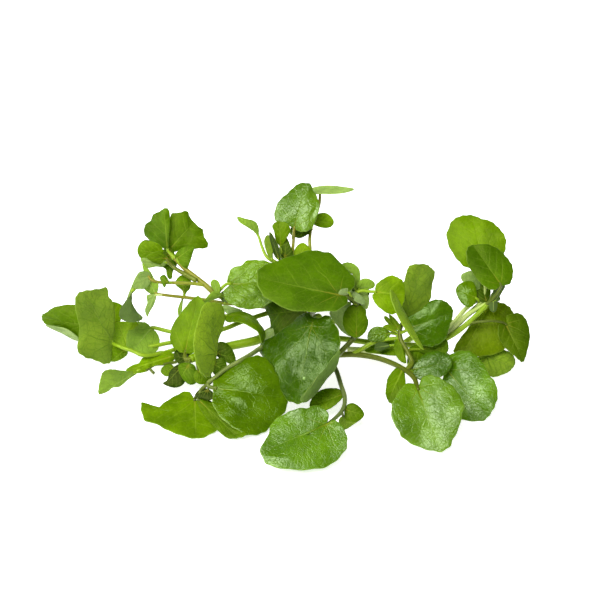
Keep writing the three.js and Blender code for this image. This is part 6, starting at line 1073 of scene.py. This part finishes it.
def stalkArrays(one, leaves):
    # A tube along its line: circles of radius r (1 + ridgeHeight cos(ridges angle)), r changing evenly from
    # end to end, closed by two smaller circles and a middle point at each end
    path = list(spot(one["points"]))
    if one["carries"]:
        blade = next(b for b in leaves if b["name"] == one["carries"])
        path += [blade["ribPoint"](0.0), blade["ribPoint"](stemForm["footRun"])]
    line = openLine(np.array(path))
    length = line[1][-1]
    count = max(stemForm["fewestSteps"], int(length / stemForm["step"]))
    share = np.linspace(0, 1, count)
    centres, tangents = alongLine(line, share), heading(line, share)
    first, last = one["radii"]
    radius = first + (last - first) * share
    centres[:, 2] = np.maximum(centres[:, 2], radius + clearance)
    # The axis that the line runs along least sets how the circles are turned
    axis = min([eyeAxis, upAxis, acrossAxis], key=lambda a: np.abs(tangents @ a).max())
    sideways = unit(np.cross(tangents, axis))
    raised = np.cross(sideways, tangents)
    sides = stemForm["sides"]
    angle = 2 * np.pi * np.arange(sides) / sides
    ring = 1 + stemForm["ridgeHeight"] * np.cos(stemForm["ridges"] * angle)
    # The first and last places come three times, for the smaller circles round the cut edge
    ends, slides = np.array(stemForm["endCircles"]), np.array(stemForm["endSlides"])
    order = np.clip(np.arange(-len(ends), count + len(ends)), 0, count - 1)
    shrink = np.concatenate([ends, np.ones(count), ends[::-1]])
    slide = np.concatenate([-slides, np.zeros(count), slides[::-1]]) * radius[order]
    circle = (np.cos(angle)[None, :, None] * sideways[order][:, None, :]
              + np.sin(angle)[None, :, None] * raised[order][:, None, :])
    reach = (radius[order] * shrink)[:, None] * ring[None, :]
    body = (centres[order] + tangents[order] * slide[:, None])[:, None, :] + circle * reach[:, :, None]
    body[..., 2] = np.maximum(body[..., 2], clearance)
    cuts = np.stack([centres[0] - tangents[0] * radius[0] * stemForm["cutSlide"],
                     centres[-1] + tangents[-1] * radius[-1] * stemForm["cutSlide"]])

    # Points 0 and 1 are the middles of the two cuts
    starts = 2 + np.arange(len(order)) * sides
    faces = [ringFaces(starts, sides)[:, [0, 3, 2, 1]], capFaces(0, starts[0], sides)[:, [0, 2, 1]],
             capFaces(1, starts[-1], sides)]
    # sideways x raised points along the tangent or against it, and the faces are wound to suit
    if np.cross(sideways[0], raised[0]) @ tangents[0] < 0:
        faces = [f[:, ::-1] for f in faces]
    shares = share[order]
    firstTint, lastTint = (linear(c) for c in stemLooks[one["look"]])
    tint = firstTint + (lastTint - firstTint) * shares[:, None]
    around = np.tile(np.arange(sides) / sides, (len(order), 1))
    lengthwise = np.repeat(shares[:, None] * length, sides, axis=1)
    return {
        "points": np.vstack([cuts, body.reshape(-1, 3)]),
        "faces": faces,
        "finishes": [0, 0, 0],
        "map": np.vstack([[0, 0], [0, length], np.stack([around.ravel(), lengthwise.ravel()], axis=1)]),
        "stemTint": np.vstack([firstTint, lastTint, np.repeat(tint, sides, axis=0)]),
    }


# A drop of water on the glossy leaf in the middle: where the eye sees it, its size in millimetres and
# how many of the skin's points nearest to it say how it lies
droplet = {
    "sprig": "frontMiddle",
    "leaf": "glossyCentre",
    "place": (6.8, 6.8),
    "radius": 0.62,
    "flatness": 0.75,
    "nearest": 12,
    "sides": 24,
    "rings": 7,
}


def dropletArrays(skin, finish):
    # A flattened ball, radius (sin a cos t, sin a sin t, flatness cos a), half sunk in the skin at its place
    front = skin["points"][:len(skin["points"]) // 2]
    ray = unit(sheetPoint(droplet["place"]) - eye)
    offset = front - eye
    apart = np.linalg.norm(offset - (offset @ ray)[:, None] * ray, axis=1)
    near = front[np.argsort(apart)[:droplet["nearest"]]]
    centre = near.mean(axis=0)
    facing = unit(np.linalg.svd(near - centre)[2][2])
    facing = facing if facing @ eyeAxis > 0 else -facing
    level = unit(np.cross(facing, upAxis))
    raised = np.cross(facing, level)
    sides = droplet["sides"]
    tilt = np.pi * np.arange(1, droplet["rings"]) / droplet["rings"]
    turn = 2 * np.pi * np.arange(sides) / sides
    pole = droplet["flatness"] * facing
    rings = (np.sin(tilt)[:, None, None] * (np.cos(turn)[:, None] * level + np.sin(turn)[:, None] * raised)
             + droplet["flatness"] * np.cos(tilt)[:, None, None] * facing)
    points = np.vstack([pole, rings.reshape(-1, 3), -pole]) * droplet["radius"] + centre
    count = len(points)
    starts = 1 + np.arange(len(tilt)) * sides
    faces = [ringFaces(starts, sides), capFaces(0, 1, sides),
             capFaces(count - 1, starts[-1], sides)[:, [0, 2, 1]]]
    return {
        "points": points,
        "faces": faces,
        "finishes": [finish] * len(faces),
        "map": np.zeros((count, 2)),
        "leafPlace": np.zeros((count, 3)),
        "leafFacts": np.zeros((count, 3)),
        "leafTint": np.ones((count, 3)),
    }


def pieceFrom(name, parts, attributes, materials):
    # One mesh of all the closed skins in parts, with their faces, map and attributes set as whole arrays
    starts = np.cumsum([0] + [len(p["points"]) for p in parts[:-1]])
    points = (np.vstack([p["points"] for p in parts]) - middleOfBunch) * mm
    faces = [f + start for p, start in zip(parts, starts) for f in p["faces"]]
    corners = np.concatenate([f.ravel() for f in faces])
    sizes = np.concatenate([np.full(len(f), f.shape[1]) for f in faces])
    mesh = bpy.data.meshes.new(name)
    mesh.vertices.add(len(points))
    mesh.vertices.foreach_set("co", points.astype(np.float32).ravel())
    mesh.loops.add(len(corners))
    mesh.loops.foreach_set("vertex_index", corners.astype(np.int32))
    mesh.polygons.add(len(sizes))
    mesh.polygons.foreach_set("loop_start", np.append(0, np.cumsum(sizes)[:-1]).astype(np.int32))
    mesh.polygons.foreach_set("use_smooth", np.ones(len(sizes), bool))
    plantMap = mesh.uv_layers.new(name="plantMap")
    maps = np.vstack([p["map"] for p in parts])
    plantMap.data.foreach_set("uv", maps[corners].astype(np.float32).ravel())
    for attribute, kind in attributes:
        values = np.vstack([p[attribute] for p in parts])
        if kind == "FLOAT_COLOR":
            values = np.hstack([values, np.ones((len(values), 1))])
        layer = mesh.attributes.new(attribute, kind, "POINT")
        key = "color" if kind == "FLOAT_COLOR" else "vector"
        layer.data.foreach_set(key, values.astype(np.float32).ravel())
    for material in materials:
        mesh.materials.append(material)
    finishOf = [np.full(len(f), finish) for p in parts for f, finish in zip(p["faces"], p["finishes"])]
    mesh.polygons.foreach_set("material_index", np.concatenate(finishOf).astype(np.int32))
    mesh.update(calc_edges=True)
    mesh.validate()
    piece = bpy.data.objects.new(name, mesh)
    bpy.context.scene.collection.objects.link(piece)
    return piece


def node(tree, kind, **settings):
    made = tree.nodes.new(kind)
    for key, value in settings.items():
        setattr(made, key, value)
    return made


def feed(tree, socket, value):
    # Links a socket to another one, or sets its value
    if isinstance(value, bpy.types.NodeSocket):
        tree.links.new(value, socket)
    elif value is not None:
        socket.default_value = value


def sums(tree, operation, a, b=None):
    made = node(tree, "ShaderNodeMath", operation=operation)
    feed(tree, made.inputs[0], a)
    feed(tree, made.inputs[1], b)
    return made.outputs[0]


def plus(tree, a, b):
    return sums(tree, "ADD", a, b)


def minus(tree, a, b):
    return sums(tree, "SUBTRACT", a, b)


def times(tree, a, b):
    return sums(tree, "MULTIPLY", a, b)


def offWhole(tree, value):
    # How far the value is from the nearest whole number
    return sums(tree, "ABSOLUTE", minus(tree, sums(tree, "FRACT", plus(tree, value, 0.5)), 0.5))


def rising(tree, value, edges, ends=(0.0, 1.0)):
    # A smooth step from the first end to the last, as the value goes from one edge to the other
    made = node(tree, "ShaderNodeMapRange", interpolation_type="SMOOTHSTEP")
    for socket, given in zip(made.inputs[:5], (value, *edges, *ends)):
        feed(tree, socket, given)
    return made.outputs[0]


def falling(tree, value, edges):
    return rising(tree, value, edges, (1.0, 0.0))


def blend(tree, share, a, b, way="MIX"):
    made = node(tree, "ShaderNodeMix", data_type="RGBA", blend_type=way)
    feed(tree, made.inputs["Factor"], share)
    feed(tree, made.inputs[6], a)
    feed(tree, made.inputs[7], b)
    return made.outputs[2]


def tinted(tree, colour, tint):
    # Colour times tint
    return blend(tree, 1.0, colour, tint, "MULTIPLY")


def noise(tree, vector, settings):
    scale, detail, roughness = settings
    made = node(tree, "ShaderNodeTexNoise")
    feed(tree, made.inputs["Vector"], vector)
    made.inputs["Scale"].default_value = scale
    made.inputs["Detail"].default_value = detail
    made.inputs["Roughness"].default_value = roughness
    return made.outputs["Fac"]


def attribute(tree, name, output):
    return node(tree, "ShaderNodeAttribute", attribute_name=name).outputs[output]


def newMaterial(name):
    material = bpy.data.materials.new(name)
    material.use_nodes = True
    material.node_tree.nodes.clear()
    return material


def bumpFrom(tree, height, distance, strength=1.0):
    made = node(tree, "ShaderNodeBump")
    made.inputs["Strength"].default_value = strength
    made.inputs["Distance"].default_value = distance
    feed(tree, made.inputs["Height"], height)
    return made.outputs[0]


def glossySkin(tree, colour, roughness, normal, specular, tint):
    made = node(tree, "ShaderNodeBsdfPrincipled")
    feed(tree, made.inputs["Base Color"], colour)
    feed(tree, made.inputs["Roughness"], roughness)
    feed(tree, made.inputs["Normal"], normal)
    made.inputs["Specular IOR Level"].default_value = specular
    made.inputs["Specular Tint"].default_value = tint
    return made.outputs[0]


# Where a leaf's veins run. Gaps from a vein's middle are in centimetres, from where it shows in full to where
# it ends, and the other bands are shares of the leaf's length, or of the way from its middle to the rim.
veinForm = {
    "wanderNoise": (1.4, 1.0, 0.55),
    "inner": (0.55, 0.96),
    "lateralWander": 0.2,
    "lateralSpacing": 0.8,
    "lateralGap": (0.006, 0.024),
    "lateralStart": (0.12, 0.3),
    "lateralShow": 0.5,
    "fanStep": math.radians(42),
    "fanWander": 0.35,
    "fanGap": (0.005, 0.022),
    "fanEnd": (0.3, 0.65),
    "ribWidth": 0.032,
    "ribLeast": 0.003,
    "ribEdge": (0.35, 1.1),
    "ribEnd": (0.75, 0.97),
    "netWander": 0.9,
    "netShift": (0.5, 0.5, 0.5),
    "netScale": 3.6,
    "netEdge": (0.0, 0.06),
    "fineScale": 9.5,
    "fineEdge": (0.0, 0.09),
}


def leafReadings(tree):
    # What a leaf's patterns read: run / length and side / half width from its map, the share from its middle
    # to the rim, its length and its place in the flat pattern, with distances in centimetres
    facts = node(tree, "ShaderNodeSeparateXYZ")
    feed(tree, facts.inputs[0], attribute(tree, "leafFacts", "Vector"))
    share, length, halfWidth = facts.outputs
    plantMap = node(tree, "ShaderNodeSeparateXYZ")
    feed(tree, plantMap.inputs[0], node(tree, "ShaderNodeUVMap", uv_map="plantMap").outputs[0])
    run, side = plantMap.outputs[0], plantMap.outputs[1]
    place = attribute(tree, "leafPlace", "Vector")
    runLength, sideLength = times(tree, run, length), times(tree, side, halfWidth)
    squares = plus(tree, times(tree, runLength, runLength), times(tree, sideLength, sideLength))
    reach = sums(tree, "SQRT", squares)
    return {
        "run": run,
        "side": side,
        "share": share,
        "length": length,
        "runLength": runLength,
        "sideLength": sideLength,
        "reach": reach,
        "reachShare": sums(tree, "DIVIDE", reach, length),
        "place": place,
        # Wander, so that no vein is a ruled line, and how far veins show towards the rim
        "wander": minus(tree, noise(tree, place, veinForm["wanderNoise"]), 0.5),
        "inner": falling(tree, share, veinForm["inner"]),
    }


def lateralBands(tree, leaf):
    # Side veins: bands round the whole numbers of the same sum as in lateralPlace
    away = sums(tree, "ABSOLUTE", leaf["side"])
    lean = plus(tree, times(tree, away, bladeForm["lateralLean"]),
                times(tree, times(tree, away, away), bladeForm["lateralCurve"]))
    count = plus(tree, minus(tree, leaf["run"], lean), times(tree, leaf["wander"], veinForm["lateralWander"]))
    count = times(tree, count, bladeForm["lateralCount"])
    isShifted = sums(tree, "GREATER_THAN", leaf["side"], 0.0)
    count = plus(tree, count, times(tree, isShifted, bladeForm["lateralShift"]))
    spacing = times(tree, leaf["length"], veinForm["lateralSpacing"] / bladeForm["lateralCount"])
    gap = times(tree, offWhole(tree, count), spacing)
    lateral = times(tree, falling(tree, gap, veinForm["lateralGap"]), leaf["inner"])
    return times(tree, lateral, rising(tree, leaf["run"], veinForm["lateralStart"]))


def fanBands(tree, leaf):
    # Veins that fan out from the foot: bands round rays that are one fanStep apart
    angle = sums(tree, "ARCTAN2", leaf["sideLength"], leaf["runLength"])
    angle = plus(tree, angle, times(tree, leaf["wander"], veinForm["fanWander"]))
    turns = sums(tree, "DIVIDE", angle, veinForm["fanStep"])
    gap = times(tree, offWhole(tree, turns), times(tree, leaf["reach"], veinForm["fanStep"]))
    fan = times(tree, falling(tree, gap, veinForm["fanGap"]), leaf["inner"])
    return times(tree, fan, falling(tree, leaf["reachShare"], veinForm["fanEnd"]))


def ribBand(tree, leaf):
    # The midrib, which thins towards the tip
    width = times(tree, minus(tree, bladeForm["ribReach"], leaf["run"]), veinForm["ribWidth"])
    near = sums(tree, "DIVIDE", sums(tree, "ABSOLUTE", leaf["sideLength"]),
                sums(tree, "MAXIMUM", width, veinForm["ribLeast"]))
    rib = falling(tree, near, veinForm["ribEdge"])
    return times(tree, rib, falling(tree, leaf["share"], veinForm["ribEnd"]))


def netBands(tree, leaf):
    # The net between the side veins, and a finer one: the edges of cells in the pattern bent by the wander
    bend = node(tree, "ShaderNodeVectorMath", operation="SCALE")
    feed(tree, bend.inputs[0], veinForm["netShift"])
    feed(tree, bend.inputs["Scale"], times(tree, leaf["wander"], veinForm["netWander"]))
    bentPlace = node(tree, "ShaderNodeVectorMath", operation="ADD")
    feed(tree, bentPlace.inputs[0], leaf["place"])
    feed(tree, bentPlace.inputs[1], bend.outputs[0])
    bands = []
    for scale, edge in (("netScale", "netEdge"), ("fineScale", "fineEdge")):
        cells = node(tree, "ShaderNodeTexVoronoi", feature="DISTANCE_TO_EDGE")
        feed(tree, cells.inputs["Vector"], bentPlace.outputs[0])
        cells.inputs["Scale"].default_value = veinForm[scale]
        bands.append(falling(tree, cells.outputs["Distance"], veinForm[edge]))
    return bands


# The leaf's colours, and how strongly each shows over the leaf's own tint. A noise is its scale, detail and
# roughness, and a leaf's scales are to the centimetre.
leafMaterial = {
    "blotchNoise": (0.9, 3.0, 0.55),
    "blotchEdge": (0.3, 0.72),
    "blotchDark": (0.68, 0.72, 0.55, 1),
    "blotchLight": (1.24, 1.16, 1.0, 1),
    "mottleNoise": (13.0, 4.0, 0.7),
    "mottleDark": (0.6, 0.64, 0.6, 1),
    "mottleLight": (1.4, 1.34, 1.4, 1),
    "veinPale": "#a9c04a",
    "veinPaleShow": 0.35,
    "veinLift": (1.6, 1.45, 2.2, 1),
    "veinWarm": "#a98f2c",
    "warmEnd": (0.06, 0.34),
    "warmShow": 0.55,
    "netShow": 0.12,
    "ribShow": 0.62,
    "sideVeinShow": 0.5,
    "underBloom": "#94b46c",
    "bloomShow": 0.12,
    "veinUnder": "#4f7408",
    "netUnderShow": 0.55,
    "ribUnder": "#a3bc62",
    "rimPale": "#a2c052",
    "rimEdge": (0.975, 0.998),
    "rimShow": 0.4,
    "translucent": 0.3,
    "throughTint": (1.5, 1.5, 0.3, 1),
    "lumpNoise": (12.0, 2.0, 0.5),
    "grainNoise": (20.0, 2.0, 0.5),
    "netHeight": 0.5,
    "fineHeight": 0.25,
    "lumpHeight": 1.5,
    "grainHeight": 0.5,
}


def upperColour(tree, leaf, finish, body, rib, sideVeins, net):
    # The upper face: pale veins and net, and a warm foot
    veinPale = blend(tree, leafMaterial["veinPaleShow"], tinted(tree, body, leafMaterial["veinLift"]),
                     rgba(leafMaterial["veinPale"]))
    body = blend(tree, times(tree, net, leafMaterial["netShow"]), body, veinPale)
    warmth = falling(tree, leaf["reachShare"], leafMaterial["warmEnd"])
    veinColour = blend(tree, times(tree, warmth, leafMaterial["warmShow"]), veinPale,
                       rgba(leafMaterial["veinWarm"]))
    veins = sums(tree, "MAXIMUM", times(tree, rib, leafMaterial["ribShow"]),
                 times(tree, sideVeins, leafMaterial["sideVeinShow"]))
    return blend(tree, times(tree, veins, finish["veins"]), body, veinColour)


def underColour(tree, finish, body, rib, sideVeins, net):
    # The lower face: a soft bloom, dark veins and net, and a pale midrib
    body = blend(tree, leafMaterial["bloomShow"], body, rgba(leafMaterial["underBloom"]))
    dark = sums(tree, "MAXIMUM", times(tree, net, leafMaterial["netUnderShow"]), sideVeins)
    body = blend(tree, times(tree, dark, finish["netting"]), body, rgba(leafMaterial["veinUnder"]))
    return blend(tree, times(tree, rib, finish["ribPale"]), body, rgba(leafMaterial["ribUnder"]))


def makeLeafMaterial(name, finish):
    # Blotches and mottle on the leaf's own tint, then its veins and the pale rim, with light passing through
    material = newMaterial("watercress" + name.capitalize())
    tree = material.node_tree
    leaf = leafReadings(tree)
    rib = ribBand(tree, leaf)
    lateral = times(tree, lateralBands(tree, leaf), veinForm["lateralShow"])
    sideVeins = sums(tree, "MAXIMUM", lateral, fanBands(tree, leaf))
    net, fineNet = netBands(tree, leaf)

    tint = attribute(tree, "leafTint", "Color")
    blotch = noise(tree, leaf["place"], leafMaterial["blotchNoise"])
    body = blend(tree, rising(tree, blotch, leafMaterial["blotchEdge"]),
                 tinted(tree, tint, leafMaterial["blotchDark"]),
                 tinted(tree, tint, leafMaterial["blotchLight"]))
    mottle = noise(tree, leaf["place"], leafMaterial["mottleNoise"])
    body = tinted(tree, body, blend(tree, mottle, leafMaterial["mottleDark"], leafMaterial["mottleLight"]))
    if finish["isUpper"]:
        colour = upperColour(tree, leaf, finish, body, rib, sideVeins, net)
    else:
        colour = underColour(tree, finish, body, rib, sideVeins, net)
    rim = times(tree, rising(tree, leaf["share"], leafMaterial["rimEdge"]), leafMaterial["rimShow"])
    colour = blend(tree, rim, colour, rgba(leafMaterial["rimPale"]))
    rough = plus(tree, finish["roughness"], times(tree, minus(tree, mottle, 0.5), finish["uneven"]))

    # Relief: veins sink in the upper face and stand out of the lower one
    lumps = noise(tree, leaf["place"], leafMaterial["lumpNoise"])
    grain = noise(tree, leaf["place"], leafMaterial["grainNoise"])
    sunk = plus(tree, sums(tree, "MAXIMUM", rib, sideVeins), times(tree, net, leafMaterial["netHeight"]))
    sunk = plus(tree, sunk, times(tree, fineNet, leafMaterial["fineHeight"]))
    height = plus(tree, times(tree, sunk, -1.0 if finish["isUpper"] else 1.0),
                  times(tree, lumps, leafMaterial["lumpHeight"]))
    height = plus(tree, height, times(tree, grain, leafMaterial["grainHeight"]))
    normal = bumpFrom(tree, height, finish["relief"])

    through = node(tree, "ShaderNodeBsdfTranslucent")
    feed(tree, through.inputs["Color"], tinted(tree, colour, leafMaterial["throughTint"]))
    mixed = node(tree, "ShaderNodeMixShader")
    mixed.inputs[0].default_value = leafMaterial["translucent"]
    feed(tree, mixed.inputs[1], glossySkin(tree, colour, rough, normal, finish["specular"], finish["tint"]))
    feed(tree, mixed.inputs[2], through.outputs[0])
    feed(tree, node(tree, "ShaderNodeOutputMaterial").inputs["Surface"], mixed.outputs[0])
    return material


stemMaterial = {
    "roughness": 0.36,
    "specular": 0.42,
    "tint": (1, 1, 0.5, 1),
    "streakNoise": (3.2, 3.0, 0.6),
    "streakStretch": 0.09,
    "streakEdge": (0.35, 0.68),
    "streakDark": (0.8, 0.84, 0.7, 1),
    "streakLight": (1.14, 1.12, 1.2, 1),
    "blotchNoise": (260.0, 3.0, 0.55),
    "blotchDark": (0.84, 0.88, 0.84, 1),
    "blotchLight": (1.16, 1.12, 1.16, 1),
    "relief": 0.00012,
    "reliefStrength": 0.8,
    "blotchHeight": 0.4,
}


def makeStemMaterial():
    # Streaks along the stem, and soft blotches, on the stem's own tint
    material = newMaterial("watercressStem")
    tree = material.node_tree
    tint = attribute(tree, "stemTint", "Color")
    plantMap = node(tree, "ShaderNodeSeparateXYZ")
    feed(tree, plantMap.inputs[0], node(tree, "ShaderNodeUVMap", uv_map="plantMap").outputs[0])
    # The angle round the stem is laid out as a circle, so that the streaks close, and the length is drawn out
    angle = times(tree, plantMap.outputs[0], 2 * math.pi)
    circle = node(tree, "ShaderNodeCombineXYZ")
    feed(tree, circle.inputs[0], sums(tree, "COSINE", angle))
    feed(tree, circle.inputs[1], sums(tree, "SINE", angle))
    feed(tree, circle.inputs[2], times(tree, plantMap.outputs[1], stemMaterial["streakStretch"]))
    streak = noise(tree, circle.outputs[0], stemMaterial["streakNoise"])
    coordinates = node(tree, "ShaderNodeTexCoord").outputs["Object"]
    blotch = noise(tree, coordinates, stemMaterial["blotchNoise"])
    streaks = blend(tree, rising(tree, streak, stemMaterial["streakEdge"]), stemMaterial["streakDark"],
                    stemMaterial["streakLight"])
    blotches = blend(tree, blotch, stemMaterial["blotchDark"], stemMaterial["blotchLight"])
    colour = tinted(tree, tinted(tree, tint, streaks), blotches)
    height = plus(tree, streak, times(tree, blotch, stemMaterial["blotchHeight"]))
    normal = bumpFrom(tree, height, stemMaterial["relief"], stemMaterial["reliefStrength"])
    skin = glossySkin(tree, colour, stemMaterial["roughness"], normal, stemMaterial["specular"],
                      stemMaterial["tint"])
    feed(tree, node(tree, "ShaderNodeOutputMaterial").inputs["Surface"], skin)
    return material


# The drop is drawn opaque, in a green lighter than the leaf beneath it: painted light for the leaf seen
# brightened through the water. It is also glossier.
waterMaterial = {"roughness": 0.04, "specular": 0.6, "colour": "#7fa34c"}


def makeWaterMaterial():
    material = bpy.data.materials.new("paintedLightDrop")
    material.use_nodes = True
    skin = material.node_tree.nodes["Principled BSDF"]
    skin.inputs["Base Color"].default_value = rgba(waterMaterial["colour"])
    skin.inputs["Roughness"].default_value = waterMaterial["roughness"]
    skin.inputs["Specular IOR Level"].default_value = waterMaterial["specular"]
    return material


leafSkins = [makeLeafMaterial(name, finish) for name, finish in leafFinishes.items()]
stemSkins = [makeStemMaterial()]
print("finishes made:", len(leafSkins) + len(stemSkins))

sprigs = [
    ("far_left_sprig", "farLeft", farLeftLeaves, farLeftStalks),
    ("top_left_sprig", "topLeft", topLeftLeaves, topLeftStalks),
    ("middle_left_sprig", "middleLeft", middleLeftLeaves, middleLeftStalks),
    ("front_left_sprig", "frontLeft", frontLeftLeaves, frontLeftStalks),
    ("front_middle_sprig", "frontMiddle", frontMiddleLeaves, frontMiddleStalks),
    ("top_sprig", "top", topLeaves, topStalks),
    ("middle_sprig", "middle", middleLeaves, middleStalks),
    ("front_right_sprig", "frontRight", frontRightLeaves, frontRightStalks),
    ("upper_right_sprig", "upperRight", upperRightLeaves, upperRightStalks),
    ("right_sprig", "right", rightLeaves, rightStalks),
    ("back_sprig", "back", backLeaves, backStalks),
    ("back_right_sprig", "backRight", backRightLeaves, backRightStalks),
]
leafAttributes = [("leafPlace", "FLOAT_VECTOR"), ("leafFacts", "FLOAT_VECTOR"), ("leafTint", "FLOAT_COLOR")]
stemAttributes = [("stemTint", "FLOAT_COLOR")]
leafSeed = 0
for nodeName, short, leaves, stalks in sprigs:
    blades = []
    for blade in leaves:
        leafSeed += 1
        blades.append(bladeArrays(blade, leafSeed))
    skins = leafSkins
    if short == droplet["sprig"]:
        wet = next(k for k, blade in enumerate(leaves) if blade["name"] == droplet["leaf"])
        blades.append(dropletArrays(blades[wet], len(leafSkins)))
        skins = [*leafSkins, makeWaterMaterial()]
    tubes = [stalkArrays(one, leaves) for one in stalks]
    leafPiece = pieceFrom(short + "Leaves", blades, leafAttributes, skins)
    stemPiece = pieceFrom(short + "Stems", tubes, stemAttributes, stemSkins)
    for piece, slotName in ((leafPiece, "leaf"), (stemPiece, "stem")):
        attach(piece, "root")
        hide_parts(nodeName)
    print(nodeName, "made,", len(leafPiece.data.polygons) + len(stemPiece.data.polygons), "faces")

# The plain floor and the soft studio light
stage = {
    "floorSize": 6.0,
    "floorColour": (0.93, 0.93, 0.925, 1),
    "floorRoughness": 0.9,
    "floorGlow": 0.68,
    "glowColour": (1, 1, 1, 1),
    "worldStrength": 0.07,
    "worldColour": (1.0, 1.0, 1.0, 1),
}
half = stage["floorSize"] / 2
floorMesh = bpy.data.meshes.new("floor")
floorCorners = [(-half, -half, 0), (half, -half, 0), (half, half, 0), (-half, half, 0)]
floorMesh.from_pydata(floorCorners, [], [(0, 1, 2, 3)])
floor = bpy.data.objects.new("floor", floorMesh)
bpy.context.scene.collection.objects.link(floor)
floorFinish = bpy.data.materials.new("paleFloor")
floorFinish.use_nodes = True
floorSkin = floorFinish.node_tree.nodes["Principled BSDF"]
floorSkin.inputs["Base Color"].default_value = stage["floorColour"]
floorSkin.inputs["Roughness"].default_value = stage["floorRoughness"]
floorSkin.inputs["Specular IOR Level"].default_value = 0.0
floorSkin.inputs["Emission Color"].default_value = stage["glowColour"]
floorSkin.inputs["Emission Strength"].default_value = stage["floorGlow"]
floorMesh.materials.append(floorFinish)

world = bpy.data.worlds.new("studio")
bpy.context.scene.world = world
world.use_nodes = True
background = world.node_tree.nodes["Background"]
background.inputs["Color"].default_value = stage["worldColour"]
background.inputs["Strength"].default_value = stage["worldStrength"]

# Soft boxes, which face the middle of the surface: where they stand, width and depth, radiance, and whether
# they show in the leaves' gloss
softBoxes = {
    "overhead": {"place": (-0.4, -0.42, 0.93), "size": (0.92, 0.66), "radiance": 9.2, "inGloss": True},
    "left": {"place": (-0.96, 0.13, 0.52), "size": (0.42, 0.42), "radiance": 9.0, "inGloss": True},
    "behind": {"place": (0.3, 0.9, 0.6), "size": (0.7, 0.6), "radiance": 4.4, "inGloss": False},
    "frontRight": {"place": (0.8, -1.0, 0.7), "size": (0.9, 0.9), "radiance": 1.6, "inGloss": False},
}
for name, softBox in softBoxes.items():
    light = bpy.data.lights.new(name, "AREA")
    light.shape = "RECTANGLE"
    light.size, light.size_y = softBox["size"]
    light.energy = softBox["radiance"] * math.pi * light.size * light.size_y
    box = bpy.data.objects.new(name, light)
    box.location = softBox["place"]
    x, y, z = softBox["place"]
    box.rotation_euler = (math.asin(-y / math.hypot(x, y, z)), math.atan2(x, z), 0)
    box.visible_glossy = softBox["inGloss"]
    bpy.context.scene.collection.objects.link(box)

# The camera takes in the whole sheet, at its distance
cameraSetup = {"sensorWidth": 36.0, "nearest": 0.05, "farthest": 20.0}
lens = bpy.data.cameras.new("camera")
lens.sensor_width = cameraSetup["sensorWidth"]
lens.lens = lens.sensor_width * eyeSetup["distance"] / eyeSetup["sheetWidth"]
lens.clip_start = cameraSetup["nearest"]
lens.clip_end = cameraSetup["farthest"]
camera = bpy.data.objects.new("camera", lens)
camera.location = Vector((eye - middleOfBunch) * mm)
camera.rotation_euler = Vector(-eyeAxis).to_track_quat("-Z", "Y").to_euler()
bpy.context.scene.collection.objects.link(camera)
bpy.context.scene.camera = camera
bpy.context.scene.view_settings.view_transform = "Standard"
print("stage set")
